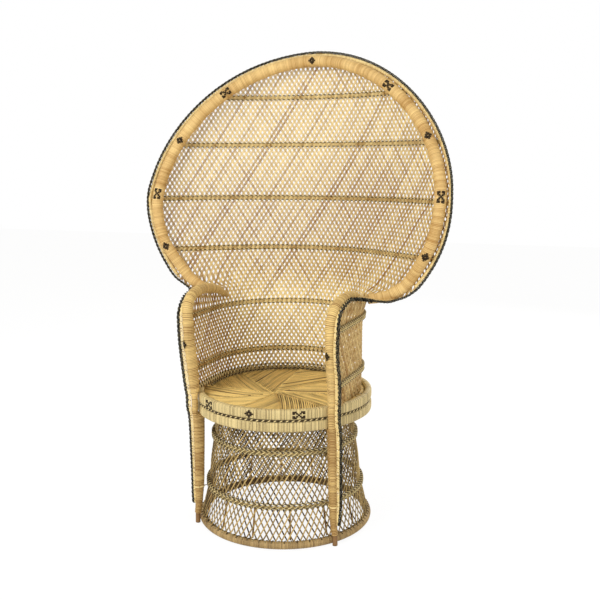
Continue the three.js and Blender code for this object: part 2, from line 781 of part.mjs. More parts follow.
function skirtRadiusAt(height) {
  const above = Math.max(skirtLevels.findIndex((p) => p.y > height), 1);
  const [low, high] = [skirtLevels[above - 1], skirtLevels[above]];
  return mixed(low.x, high.x, (height - low.y) / (high.y - low.y));
}

function skirtBand(height) {
  const lean = Math.max(skirtRadiusAt(height - bandHeight / 2), skirtRadiusAt(height + bandHeight / 2));
  const centre = lean + skirtThickness / 2 + gap + bandDepth / 2;
  return ring(oblong(bandDepth, bandHeight).map((p) => [centre + p.x, height + p.y]));
}

function skirtStake(index) {
  const low = baseHoopTop + gap;
  const height = skirtBandLowerHeight + bandHeight / 2 - low;
  const angle = 2 * Math.PI * (index + 0.5) / stakeCount;
  const inset = skirtThickness / 2 + stakeStandoff + stakeRadius;
  const foot = skirtRadiusAt(low) - inset;
  const head = skirtRadiusAt(low + height) - inset;
  const lean = Math.min(foot, skirtRadiusAt(low + height / 2) - inset);
  const steps = [[foot, low], [lean, low + height / 2], [head, low + height]];
  const rings = steps.map(([r, z]) => circle(stakeRadius, cordSides).map((p) => (
    new THREE.Vector3(r + p.x, p.y, z).applyAxisAngle(upright, angle)
  )));
  return loft(rings, true);
}

// Seat

function rimBand(top) {
  const section = oblong(rimBandDepth, rimBandHeight);
  return ring(section.map((p) => [rimRadius - rimBandDepth / 2 + p.x, top - rimBandHeight / 2 + p.y]));
}

function seatDisc() {
  const edge = rimInnerRadius - gap;
  return new THREE.CylinderGeometry(edge, edge, seatThickness, hoopSteps)
    .rotateX(Math.PI / 2).translate(0, 0, seatBottomHeight + seatThickness / 2);
}

function seatBrace(level, side) {
  const height = seatBottomHeight - gap - braceRadius - level * (2 * braceRadius + gap);
  const inner = innerHoopCentre - innerHoopRadius / Math.cos(Math.PI / roundSides) - gap;
  const room = level === 0 ? inner : Math.min(inner, skirtRadiusAt(skirtTopHeight - 2 * braceRadius) - skirtThickness);
  const away = braceSpacing / 2;
  const length = 2 * Math.sqrt(room ** 2 - (away + braceRadius) ** 2);
  const cane = new THREE.CylinderGeometry(braceRadius, braceRadius, length, roundSides);
  if (level === 0) cane.rotateZ(Math.PI / 2).translate(0, side * away, height);
  else cane.translate(side * away, 0, height);
  return cane;
}

function seatBackBraid() {
  const first = grid[0].map((p, j) => p.clone().addScaledVector(gridNormal(0, j), sheetHalf + wallBandStandoff + braidRadius));
  const points = first.filter((p) => p.y > -backBraidForward);
  points.forEach((p) => p.setZ(seatTopHeight + gap + braidRadius));
  return sweep(points, circle(braidRadius, cordSides), () => upright);
}

// Cord ties

function legTie() {
  const { point: centre, radial: out, blend } = armAt(armPlaceAt(skirtBandLowerHeight));
  const band = skirtRadiusAt(skirtBandLowerHeight - bandHeight / 2) + skirtThickness / 2 + bandDepth + boreGap;
  const leg = centre.clone().setZ(0).length() - blend('inward') - gap;
  const points = [band, leg].map((r) => out.clone().multiplyScalar(r).setZ(skirtBandLowerHeight));
  return sweep(points, circle(tieRadius, cordSides), () => upright);
}

// The twisted end of the two braids, from the arm's braid round the notch to the fan's braid
function notchKnot() {
  const start = armBraidPath().pop();
  const places = fanEdge().slice(0, 2).map(({ edge, inward }) => edge.clone().addScaledVector(inward, -knotRadius - sheetHalf - gap));
  const [middle, end] = places;
  const line = new THREE.QuadraticBezierCurve3(start, middle, end).getPoints(knotSteps);
  const points = line.slice(1, -1);
  const tangents = pathTangents(points);
  const section = (i) => circle(i % (points.length - 1) === 0 ? braidRadius : knotRadius, roundSides);
  return loft(sweepRings(points, tangents, section, () => upright), true);
}

// Assembly

function addPair(name, geometry, finish) {
  add(`right_${name}`, geometry, finish);
  add(`left_${name}`, mirrored(geometry), finish);
}

function addBase() {
  const outline = roundOutline(baseHoopCentre, baseHoopRadius - baseFlat, baseHoopRadius)
    .map(([r, z]) => [r, Math.max(z, 0)]);
  add('base_hoop', ring(outline), 'legPeel');
  add('skirt_weave', skirtShell(), 'agedWeave');
  add('skirt_band_lower', skirtBand(skirtBandLowerHeight), 'mixed');
  add('skirt_band_upper', skirtBand(skirtBandUpperHeight), 'mixed');
  for (let i = 0; i < stakeCount; i += 1) {
    add(`skirt_stake_${String(i + 1).padStart(2, '0')}`, skirtStake(i), 'core');
  }
}

function addSeat() {
  add('seat_rim_lower', rimBand(rimLowerTop), 'peel');
  add('seat_rim_upper', rimBand(rimTopHeight), 'peel');
  const seated = (rimCordRadius + gap) * Math.SQRT2 - rimGroove / 2;
  const cordCentre = rimRadius - Math.min(rimBandDepth, rimBandHeight) / 3 + seated;
  const cord = circle(rimCordRadius, cordSides).map((p) => [cordCentre + p.x, rimLowerTop + rimGroove / 2 + p.y]);
  add('seat_rim_cord', ring(cord), 'dark');
  add('seat_inner_hoop', ring(roundOutline(innerHoopCentre, innerHoopHeight, innerHoopRadius)), 'core');
  add('seat_weave', seatDisc(), 'seat');
  add('seat_brace_1', seatBrace(0, 1), 'core');
  add('seat_brace_2', seatBrace(0, -1), 'core');
  add('seat_brace_3', seatBrace(1, 1), 'core');
  add('seat_brace_4', seatBrace(1, -1), 'core');
  add('seat_back_braid', seatBackBraid(), 'dark');
}

function addBack() {
  add('back_weave', backSheet(sheetThickness, isOpenCell), 'paleWeave');
  add('back_band_lower', backBand(backBandHeights[0], wallBandStandoff), 'mixed');
  add('back_band_neck', backBand(backBandHeights[1], wallBandStandoff), 'mixed');
  fanBandHeights.forEach((height, i) => add(`fan_band_${i + 1}`, backBand(height, fanBandStandoff), 'mixed'));
  const path = fanHoopPath();
  const clear = [backSheet(sheetThickness + doubleGap, () => false), armClearance(), mirrored(armClearance())];
  add('fan_hoop_wrap', cut(sleeve(path, hoopRadiusAt, fanHoopCaneRadius + doubleGap), ...clear), 'peel');
  add('fan_hoop_cane', cut(taperedTube(path, () => fanHoopCaneRadius, roundSides), ...clear), 'core');
  const edge = fanEdge().map(({ edge: p, inward }) => p.clone().addScaledVector(inward, -braidRadius - boreGap));
  add('fan_braid', sweep(overFan(edge.slice(1)), circle(braidRadius, cordSides), () => forward), 'dark');
}

// The room that each arm takes, with its clearance, which the fan hoop's ends are cut to
function armClearance() {
  const places = armPlaces.map((_, i) => i).slice(1);
  return loft(places.map((i) => armRing(i, armAt(i).section(gap))), true);
}

function addArms() {
  addPair('arm_cane', armCane(), 'core');
  addPair('arm_wrap', armWrap(), 'legPeel');
  addPair('arm_strip', armStrip(), 'paleWeave');
  addPair('arm_braid', sweep(armBraidPath(), circle(braidRadius, cordSides), () => rightward), 'dark');
  addPair('leg_tie', legTie(), 'core');
  addPair('notch_knot', notchKnot(), 'dark');
}

addBase();
addSeat();
addBack();
addArms();

const footprint = new THREE.Box3().setFromObject(chair, true).getCenter(new THREE.Vector3());
chair.position.set(-footprint.x, -footprint.y, 0);

export default chair;
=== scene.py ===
"""The looks of a rattan peacock chair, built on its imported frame.

Shapes are drawn in millimetres round the upright axis through the middle of the seat, with the
sitter facing -Y, and are moved into the frame when a piece is made. Most pieces are drawn flat
first, as a maker lays out cane on a bench, and are then laid on the surface or line they follow.
Those surfaces and lines come from the sizes below and from the frame's own pieces.
"""

import math

import bmesh
import bpy
import numpy as np
from mathutils import Matrix, Vector


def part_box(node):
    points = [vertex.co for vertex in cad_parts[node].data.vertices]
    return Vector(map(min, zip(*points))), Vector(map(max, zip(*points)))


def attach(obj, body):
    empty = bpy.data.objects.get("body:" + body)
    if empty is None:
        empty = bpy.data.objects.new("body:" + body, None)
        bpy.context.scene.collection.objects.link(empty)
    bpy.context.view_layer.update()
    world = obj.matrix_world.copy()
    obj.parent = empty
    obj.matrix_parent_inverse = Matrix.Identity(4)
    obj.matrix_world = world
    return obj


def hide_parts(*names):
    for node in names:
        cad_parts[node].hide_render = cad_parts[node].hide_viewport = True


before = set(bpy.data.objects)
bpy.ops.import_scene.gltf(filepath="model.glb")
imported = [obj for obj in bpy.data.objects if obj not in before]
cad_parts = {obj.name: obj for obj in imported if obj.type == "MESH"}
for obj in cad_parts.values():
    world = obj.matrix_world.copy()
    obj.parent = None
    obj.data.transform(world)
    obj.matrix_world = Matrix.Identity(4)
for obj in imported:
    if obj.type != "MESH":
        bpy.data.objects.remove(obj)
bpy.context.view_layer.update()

MM = 0.001
TURN = 2 * math.pi
UP = np.array([0, 0, 1])
SEAT_LOW, SEAT_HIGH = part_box("seat_weave")
AXIS = np.array([(SEAT_LOW.x + SEAT_HIGH.x) / 2, (SEAT_LOW.y + SEAT_HIGH.y) / 2, 0])

# Sizes of the back sheet, in millimetres
FAN_HALF_WIDTH = 495
FAN_WAIST = 985
FAN_DROP = 426
FAN_RISE = 457.7
FAN_PLAN_RADIUS = 680
FAN_SETBACK = 278
FAN_EDGE_SETBACK = 46
FAN_LEVEL = 1000
FAN_UPRIGHT = 1300
FAN_FOOT_TURN = math.radians(-36)
FAN_HEAD_TURN = math.radians(87)
WALL_RADIUS = 240
WALL_TOP = 700
WALL_FRONT = -110
WALL_STANDOFF = 4
NECK = 630
NOTCH_HEIGHT = 722
NOTCH_OUT = 261
NOTCH_FORWARD = 92
NOTCH_DIP = 32
LIP_SHIFT = 14
SHEET_HALF = 3
SHEET_FOOT = 404
EDGE_ROOM = 0.5

# Sizes of the other pieces
SEAT_TOP = 409
HOOP_RADIUS = 18
HOOP_INSET = 24
HOOP_FORWARD = 22.5
HOOP_PITCH = 4.4
BINDING_PITCH = 4.5
BINDING_RADII = (3.9, 3.9, 6.2)
ARM_PITCH = 4.8
ARM_FOOT = 31
ARM_MOTIF_RADIUS = 12.5
STRIP_THICK = 4
RIM_DEPTH = 22
RIM_TURNS = 400
RIM_ROUNDING = 4.2
STITCH_ROOM = 0.8
BRAID_PITCH = 40
KNOT_PITCH = 30
WHORL_MIDDLE = np.array([-3.6, -64.6])
WHORL_BAYS = 9
WHORL_PITCH = 6.2
WHORL_RADIUS = 246.5
WHORL_REACH = 520
WHORL_BOW = 0.00042
BASE_RADIUS = 12
BASE_PITCH = 5.0
SKIRT_HALF = 2.5
SKIRT_COUNT = 90
SKIRT_CELL = 33.0

# Gaps in height that part a shell's levels and a short cane's rings
LEVEL_GAP = 0.5
RING_GAP = 20

# The weave: how wide and how high one diamond is, and how far a pair's strands lie from its middle
CELL_WIDE = 15.4
CELL_HIGH = 23.5
PAIR_HALF = 1.75
# Two dark strands side by side, counted from the middle of the seat, and a browner patch's place
DOUBLE_LINE = (-43, -42)
PATCH = (190, 1020)

# Strands and canes for each place, wide and thick
WEAVE_STRAND = (3.25, 1.4)
HOOP_CORE = (18, 18)
EDGE_BRAID = (3.2, 2.8)
ARM_CORE = (15, 15)
ARM_LATTICE = (2.3, 1.3)
ARM_BRAID = (4.0, 2.8)
KNOT_BRAID = (6.0, 4.8)
LEG_LOOP = (2.0, 2.0)
LEG_CORD = (1.5, 1.5)
TWIST_STRAND = (3.1, 3.1)
TWIST_SHADOW = (7.2, 3.6)
SEAT_CANE = (5.3, 3.6)
SEAT_BEARER = (15, 15)
SEAT_PLAIT = (3.4, 3.2)
SEAT_STITCH = (3.4, 1.8)
LOOSE_END = (2.6, 1.6)
SKIRT_STRAND = (4.1, 2.3)
STAKE_CANE = (5.4, 5.4)
BASE_TIE = (3.6, 1.8)

# Bands lashed to a sheet: their twined rows, crossed lashing and backing cane
BACK_BAND = dict(
    twine=dict(spacing=6.4, closer=-3.7, swing=6.4, wide=0.4), lashing=dict(reach=5.6, base=0.4, bulge=1.8),
    # The back band's cane has a paler tone than the weave: painted light against the shade of the sheet in
    # front of it
    sizes=((3.0, 2.2), (2.2, 1.2), (9.6, 3.4)), finish="weave", tone=-0.1, seeds=(31, 32, 33, 34),
)
SKIRT_BAND = dict(
    twine=dict(spacing=7.2, closer=-1.4, swing=4.0, wide=0.9), lashing=dict(reach=6, base=0.6, bulge=2.6),
    sizes=((2.8, 2.4), (3.0, 1.4), (6.5, 4)), finish="skirt", tone=0.45, seeds=(112, 111, 113, 2),
)

# The lip between notch and fan: its edge's place out to the fan's foot, forward and up, and the
# height of its row's middle, as shares; and the hoop's end over the wall, out, back and up
LIP_SHARES = [
    (0, 1, 1, 0.956), (0.206, 0.49, 0.978, 0.97), (0.468, -0.09, 0.964, 0.984),
    (0.599, -0.4, 0.969, 0.998), (0.748, -0.56, 0.98, 1.02),
]
HOOP_END_SHARES = [
    (0, 0.24, 0.968), (0.187, 0.42, 0.972), (0.387, 0.53, 0.982), (0.552, 0.57, 0.999),
    (0.73, 0.63, 1.0235),
]

# Stitched motifs, as a maker counts them out over the peel's turns
DIAMOND = ("..#..", ".###.", "##.##", ".###.", "..#..")
CROSS = ("##...##", "#.#.#.#", "...#...", "#.#.#.#", "##...##")

# The camera, fitted to the photo: angles in radians, places in metres, lens in picture points
CAMERA_PITCH, CAMERA_YAW, CAMERA_ROLL = 0.1643, 0.0195, 0.0034
CAMERA_TURN = math.radians(22.5)
CAMERA_AWAY = 2.514
CAMERA_HIGH = 1.101
PICTURE_WIDE = 600
FOCAL_LENGTH = 834.94
SENSOR = 36


# Lines and places

def columns(*parts):
    """Numbers side by side in rows; a single number fills its column."""
    return np.column_stack(np.broadcast_arrays(*parts))


def smooth(value):
    value = np.clip(value, 0, 1)
    return value * value * (3 - 2 * value)


def mixed(a, b, share):
    return a + (b - a) * share


def unit(vectors):
    return vectors / np.maximum(np.linalg.norm(vectors, axis=-1, keepdims=True), 1e-9)


def squared_to(vectors, ahead):
    """Unit vectors turned square to the way ahead."""
    return unit(vectors - ahead * np.sum(vectors * ahead, axis=1, keepdims=True))


def lengths_along(line):
    steps = np.linalg.norm(np.diff(line[:, :3], axis=0), axis=1)
    return np.concatenate([[0], np.cumsum(steps)])


def through(points, fine=24):
    """A smooth line through points; columns past the third go along with the first three."""
    p = np.asarray(points, float)
    p = np.vstack([2 * p[0] - p[1], p, 2 * p[-1] - p[-2]])
    out = []
    for a, b, c, d in zip(p, p[1:], p[2:], p[3:]):
        steps = (b - a, c - b, d - c)
        before, here, after = [max(np.linalg.norm(step[:3]) ** 0.5, 1e-6) for step in steps]
        start = ((b - a) / before - (c - a) / (before + here) + (c - b) / here) * here
        end = ((c - b) / here - (d - b) / (here + after) + (d - c) / after) * here
        t = np.linspace(0, 1, fine, endpoint=False)[:, None]
        out.append((2 * t ** 3 - 3 * t ** 2 + 1) * b + (t ** 3 - 2 * t ** 2 + t) * start
                   + (3 * t ** 2 - 2 * t ** 3) * c + (t ** 3 - t ** 2) * end)
    return np.vstack(out + [p[-2:-1]])


def even(line, step):
    """The same line in even steps."""
    at = lengths_along(line)
    count = max(int(round(at[-1] / step)), 2)
    where = np.linspace(0, at[-1], count + 1)
    return columns(*[np.interp(where, at, column) for column in line.T])


def over(right_half):
    """A whole line over the chair from its right half; every third column is turned over too."""
    right = np.asarray(right_half, float)
    flip = np.ones(right.shape[1])
    flip[::3] = -1
    return np.vstack([right * flip, right[::-1]])


def mirrored(line, side):
    line = np.array(line, float)
    line[:, 0] *= side
    return line


def from_axis(line):
    return line * np.array([1, 1, 0])


class Track:
    """A line to lay flat work along: x runs along it, z stands out from it, y goes to the side."""

    def __init__(self, line, out):
        self.line = np.asarray(line, float)[:, :3]
        self.at = lengths_along(self.line)
        self.length = self.at[-1]
        tangent = unit(np.gradient(self.line, self.at, axis=0))
        out = np.asarray(out(self.line) if callable(out) else out, float)
        self.out = squared_to(np.broadcast_to(out, self.line.shape), tangent)
        self.side = np.cross(self.out, tangent)

    def column(self, x, values):
        return columns(*[np.interp(x, self.at, column) for column in values.T])

    def place(self, x, y, z):
        y, z = np.asarray(y)[:, None], np.asarray(z)[:, None]
        return self.column(x, self.line) + self.column(x, self.side) * y + self.column(x, self.out) * z

    def x_at_height(self, height):
        return self.at[np.argmin(np.abs(self.line[:, 2] - height))]

    def turn_toward(self, x, facing):
        """The angle round the line, from its out direction, that looks the way of facing."""
        out, side = self.column([x], self.out)[0], self.column([x], self.side)[0]
        return math.atan2(np.dot(facing, side), np.dot(facing, out))


def round_track(radius, height, count=720):
    """A level circle round the seat's axis, beginning at the front."""
    angle = np.linspace(0, TURN, count + 1)
    return Track(columns(radius * np.sin(angle), -radius * np.cos(angle), height), from_axis)


# Lines read from the frame's own pieces

def in_seat_frame(places):
    return (np.asarray(places, float) - AXIS) / MM


def box_of(node):
    low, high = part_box(node)
    return in_seat_frame(low), in_seat_frame(high)


def level_of(node):
    """The height of a piece's middle."""
    low, high = box_of(node)
    return (low[2] + high[2]) / 2


def rings_from(start):
    """Rings of a swept piece's corners, each beside the one before it."""
    seen = set(start)
    rings = [start]
    while rings[-1]:
        beside = {edge.other_vert(vert) for vert in rings[-1] for edge in vert.link_edges} - seen
        seen |= beside
        rings.append(sorted(beside, key=lambda vert: vert.index))
    return rings[:-1]


def rings_of(node):
    """The sections of a swept piece of the frame, from one end to the other."""
    bm = bmesh.new()
    bm.from_mesh(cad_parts[node].data)
    bmesh.ops.remove_doubles(bm, verts=bm.verts, dist=0.00001)
    bm.verts.index_update()
    bm.verts.ensure_lookup_table()
    far = rings_from([bm.verts[0]])[-1][:1]
    rings = rings_from(rings_from(far)[-1])
    places = [in_seat_frame([tuple(vert.co) for vert in ring]) for ring in rings]
    bm.free()
    return places


def line_of(node, first):
    """The middle line of a swept piece of the frame, beginning at its end that is lower in first."""
    line = np.array([ring.mean(0) for ring in rings_of(node)])
    return line if line[0][first] < line[-1][first] else line[::-1]


def levels_of(node, apart):
    """A piece's corners, lowest first, in groups that lie more than apart from each other in height."""
    places = in_seat_frame([tuple(vert.co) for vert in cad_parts[node].data.vertices])
    places = places[np.argsort(places[:, 2], kind="stable")]
    return np.split(places, np.flatnonzero(np.diff(places[:, 2]) > apart) + 1)


def middle_of(values):
    """Halfway between the extremes, which doesn't change where a corner is there twice."""
    return (values.min(0) + values.max(0)) / 2


def outline_of(node):
    """Radius and height of a round shell's middle at each level of its corners."""
    levels = levels_of(node, LEVEL_GAP)
    return np.array([(middle_of(np.hypot(*level[:, :2].T)), middle_of(level[:, 2])) for level in levels])


def short_line_of(node):
    """The middle line of a short upright cane, whose few rings lie far apart in height."""
    return np.array([middle_of(ring) for ring in levels_of(node, RING_GAP)])


def arm_rows():
    """The right arm from foot to tapered end: its core's place, and how far the peel reaches out,
    in and to the sides of it."""
    sections = rings_of("right_arm_wrap")
    heights = np.array([section[:, 2].mean() for section in sections])
    if np.argmin(heights) < len(sections) / 2:
        sections, heights = sections[::-1], heights[::-1]
    outer = sections[1:np.argmin(heights) + 1][::-1]
    core = line_of("right_arm_cane", 2)[1:]
    middles = np.array([core[i] if i < len(core) - 1 else ring.mean(0) for i, ring in enumerate(outer)])
    ahead = unit(np.gradient(middles, axis=0))
    out = squared_to(from_axis(middles), ahead)
    # The peel's eight-sided section reaches less far at its flats than at its corners
    corner = math.cos(math.pi / 8)
    rows = []
    for ring, middle, outward, sideways in zip(outer, middles, out, np.cross(out, ahead)):
        away, across = (ring - middle) @ outward, (ring - middle) @ sideways
        rows.append([*middle, away.max() / corner, -away.min() / corner, np.abs(across).max() / corner])
    return np.array(rows)


ARM = arm_rows()
SKIRT = even(outline_of("skirt_weave"), 3)
SKIRT_AT = lengths_along(SKIRT)
SKIRT_OUT = unit(columns(np.gradient(SKIRT[:, 1], SKIRT_AT), -np.gradient(SKIRT[:, 0], SKIRT_AT)))


# The back sheet's own shape

def wall_rows():
    """Rows of the sheet's wall: the edge outside the arm, and the height of the row's middle."""
    rim_top = box_of("seat_rim_upper")[1][2]
    in_front = (ARM[:, 2] > rim_top) & (ARM[:, 1] < WALL_FRONT)
    rising = ARM[in_front]
    ahead = unit(np.gradient(ARM[:, :3], axis=0))[in_front]
    beside = unit(columns(0, ahead[:, 2], -ahead[:, 1]))
    edge = rising[:, :3] + WALL_STANDOFF * beside
    edge[:, 0] = rising[:, 0] + np.maximum(rising[:, 3], rising[:, 5]) * 0.97 + WALL_STANDOFF
    first = edge[:1] * [1, 1, 0] + [0, 0, SEAT_TOP - 5]
    edge = np.vstack([first, edge])
    dip = NOTCH_DIP * smooth((edge[:, 2] - NECK) / (NOTCH_HEIGHT - NECK))
    return columns(*edge.T, edge[:, 2] - dip)


def toward_fan(out):
    """How far out from the notch toward the fan's foot, for a share of the way."""
    return mixed(NOTCH_OUT, FAN_HALF_WIDTH * math.cos(FAN_FOOT_TURN), out)


def lip_rows():
    out, forward, up, middle = np.array(LIP_SHARES).T
    return columns(toward_fan(out), -forward * NOTCH_FORWARD, up * NOTCH_HEIGHT, middle * NOTCH_HEIGHT)


def fan_rows(last=math.radians(89.7), count=160):
    angle = np.linspace(FAN_FOOT_TURN, last, count)
    below = angle < 0
    bulge = 2 / 1.9
    up = np.maximum(angle, 0)
    x = FAN_HALF_WIDTH * np.where(below, np.cos(angle), np.cos(up) ** bulge)
    z = FAN_WAIST + np.where(below, FAN_DROP * np.sin(angle), FAN_RISE * np.sin(up) ** bulge)
    share = up / (math.pi / 2)
    lean = (share - np.maximum(share - 0.8, 0) ** 2 / 0.4) / 0.9
    y = mixed(FAN_EDGE_SETBACK, FAN_SETBACK, lean)
    middle = z + LIP_SHIFT * (1 - smooth((angle - FAN_FOOT_TURN) / -FAN_FOOT_TURN))
    return columns(x, y, z, middle)


def sheet_rows():
    rows = np.vstack([through(wall_rows(), 4), through(lip_rows(), 4), fan_rows()])
    return rows[np.argsort(rows[:, 3], kind="stable")]


ROWS = sheet_rows()
MIDDLES = ROWS[:, 3]
TOP_MIDDLE = MIDDLES[-1]


def wall_arc(level):
    """The wall's radius, a little wider at the seat and at the neck."""
    at_seat = 4 * (1 - smooth((level - SEAT_TOP) / 60))
    return WALL_RADIUS + at_seat + 13 * smooth((level - NECK) / (WALL_TOP - NECK))


def row_plan(height):
    """The plan of the sheet's row at each height of its middle: arc, then straight to the edge."""
    edge_x, edge_y, edge_z = [np.interp(height, MIDDLES, ROWS[:, i]) for i in range(3)]
    left = np.clip((FAN_UPRIGHT - height) / (FAN_UPRIGHT - WALL_TOP), 0, 1)
    setback = mixed(FAN_SETBACK, WALL_RADIUS, left ** 2)
    back = setback + wall_arc(np.minimum(height, WALL_TOP)) - WALL_RADIUS
    sag = back - edge_y
    half = np.maximum(edge_x, 0.5)
    level = np.clip((height - WALL_TOP) / (FAN_LEVEL - WALL_TOP), 0, 1)
    full = mixed(wall_arc(height), FAN_PLAN_RADIUS, level)
    round_through = (half ** 2 + sag ** 2) / (2 * np.maximum(sag, 1e-3))
    radius = np.minimum(full, np.where(sag > half, half, round_through))
    centre = back - radius
    to_edge = np.hypot(half, edge_y - centre)
    straight = np.sqrt(np.maximum(to_edge ** 2 - radius ** 2, 0))
    turn = np.arctan2(half, edge_y - centre) - np.arctan2(straight, radius)
    bend = radius * turn
    return radius, centre, bend, bend + straight, edge_z


def reach_at(height):
    return row_plan(np.atleast_1d(np.asarray(height, float)))[3]


def sheet_middle(distance, height):
    """A place on the middle of the sheet: along its row from the middle, and the row's height."""
    radius, centre, bend, reach, edge_z = row_plan(height)
    along = np.abs(distance)
    angle = np.minimum(along, bend) / radius
    rest = np.maximum(along - bend, 0)
    x = radius * np.sin(angle) + rest * np.cos(angle)
    y = centre + radius * np.cos(angle) - rest * np.sin(angle)
    rise = smooth((along / reach - 0.55) / 0.45)
    return columns(np.sign(distance) * x, y, mixed(height, edge_z, rise))


def behind_sheet(distance, height):
    step = 2.0
    across = sheet_middle(distance + step, height) - sheet_middle(distance - step, height)
    lower = np.maximum(height - step, SHEET_FOOT)
    upward = sheet_middle(distance, height + step) - sheet_middle(distance, lower)
    return unit(np.cross(upward, across))


def on_sheet(distance, height, out):
    """A place on the sheet, out behind it by a distance."""
    return sheet_middle(distance, height) + behind_sheet(distance, height) * np.asarray(out)[:, None]


def level_line(height, inset):
    """Where a level height crosses the sheet: distances along the rows and the rows' heights."""
    share = np.linspace(-1, 1, 401)
    search = 80.0
    low = np.full(share.shape, max(height - search, SHEET_FOOT + 1.0))
    high = np.full(share.shape, min(height + search, TOP_MIDDLE - 1))
    for _ in range(26):
        middle = (low + high) / 2
        z = sheet_middle(share * reach_at(middle), middle)[:, 2]
        low = np.where(z < height, middle, low)
        high = np.where(z < height, high, middle)
    middle = (low + high) / 2
    distance = share * reach_at(middle)
    keep = np.abs(distance) < reach_at(middle) - inset
    return distance[keep], middle[keep]


def fan_edge(first=FAN_FOOT_TURN):
    """The fan's edge from its foot to its top, with the ways in from the edge and to the front."""
    rows = fan_rows(FAN_HEAD_TURN, 120)
    radius, _, bend, _, _ = row_plan(rows[:, 3])
    front = -columns(np.sin(bend / radius), np.cos(bend / radius), 0)
    ahead = unit(np.gradient(rows[:, :3], axis=0))
    inward = unit(np.cross(front, ahead))
    toward = np.array([0, 0, FAN_WAIST]) - rows[:, :3]
    inward *= np.sign(np.sum(inward * toward * [1, 0, 1], axis=1, keepdims=True))
    keep = np.linspace(FAN_FOOT_TURN, FAN_HEAD_TURN, 120) >= first
    return rows[keep, :3], inward[keep], front[keep]


# Finishes

def linear(colour):
    parts = [c / 255 for c in colour]
    return tuple(p / 12.92 if p <= 0.04045 else ((p + 0.055) / 1.055) ** 2.4 for p in parts) + (1.0,)


def feed(tree, node, given):
    """Sets each of a node's sockets, or links it where what is given comes out of another node."""
    for socket, value in given.items():
        if isinstance(value, bpy.types.NodeSocket):
            tree.links.new(value, node.inputs[socket])
        else:
            node.inputs[socket].default_value = value
    return node


def shader_node(tree, kind, given):
    return feed(tree, tree.nodes.new("ShaderNode" + kind), given)


def ranged(tree, value, low, high, to_low, to_high):
    sockets = {"Value": value, "From Min": low, "From Max": high, "To Min": to_low, "To Max": to_high}
    return shader_node(tree, "MapRange", sockets).outputs["Result"]


def figured(tree, operation, first, second, clamp=False):
    node = shader_node(tree, "Math", {0: first, 1: second})
    node.operation = operation
    node.use_clamp = clamp
    return node.outputs[0]


def blended(tree, share, first, second):
    node = tree.nodes.new("ShaderNodeMix")
    node.data_type = "RGBA"
    return feed(tree, node, {"Factor": share, "A": first, "B": second}).outputs["Result"]


def noise(tree, place, scale, detail):
    return shader_node(tree, "TexNoise", {"Detail": detail, "Vector": place, "Scale": scale}).outputs["Fac"]


def cane_group():
    """Cane's own look: a tone per strand or turn, mottling, fibres and a few darker marks."""
    tree = bpy.data.node_groups.new("Cane surface", "ShaderNodeTree")
    colour, number = "NodeSocketColor", "NodeSocketFloat"
    for way, kind, names in (
        ("INPUT", colour, ("Pale", "Deep", "Mark")),
        ("INPUT", number, ("Tone", "Mottling", "Mottle scale", "Fibre scale", "Marks")),
        ("OUTPUT", colour, ("Color",)), ("OUTPUT", number, ("Roughness", "Height")),
    ):
        for name in names:
            tree.interface.new_socket(name, in_out=way, socket_type=kind)
    given = tree.nodes.new("NodeGroupInput").outputs
    place = tree.nodes.new("ShaderNodeTexCoord").outputs["Object"]
    mottle = noise(tree, place, given["Mottle scale"], 3)
    fibre = noise(tree, place, given["Fibre scale"], 2)
    clouds = figured(tree, "MULTIPLY", ranged(tree, mottle, 0.3, 0.7, -1, 1), given["Mottling"])
    shade = figured(tree, "ADD", clouds, ranged(tree, fibre, 0.3, 0.7, -0.14, 0.14))
    tone = figured(tree, "ADD", shade, given["Tone"], clamp=True)
    marks = figured(tree, "MULTIPLY", ranged(tree, fibre, 0.62, 0.72, 0, 1), given["Marks"])
    feed(tree, tree.nodes.new("NodeGroupOutput"), {
        "Color": blended(tree, marks, blended(tree, tone, given["Pale"], given["Deep"]), given["Mark"]),
        "Roughness": ranged(tree, mottle, 0, 1, 0.45, 0.7), "Height": fibre,
    })
    return tree


CANE = cane_group()


def new_material(name):
    """A material with its tree and its main shader."""
    material = bpy.data.materials.new(name)
    material.use_nodes = True
    return material, material.node_tree, material.node_tree.nodes["Principled BSDF"]


def cane_finish(name, pale, deep, mark=(66, 46, 28), mottling=0.12, marks=0.25, gloss=0.3):
    material, tree, shader = new_material(name)
    tone = tree.nodes.new("ShaderNodeAttribute")
    tone.attribute_name = "tone"
    surface = tree.nodes.new("ShaderNodeGroup")
    surface.node_tree = CANE
    look = feed(tree, surface, {
        "Pale": linear(pale), "Deep": linear(deep), "Mark": linear(mark), "Mottling": mottling,
        "Mottle scale": 26, "Fibre scale": 900, "Marks": marks, "Tone": tone.outputs["Fac"],
    }).outputs
    bumped = shader_node(tree, "Bump", {"Strength": 0.25, "Distance": 0.0004, "Height": look["Height"]})
    feed(tree, shader, {
        "Base Color": look["Color"], "Roughness": look["Roughness"], "Normal": bumped.outputs["Normal"],
        "Specular IOR Level": gloss,
    })
    return material


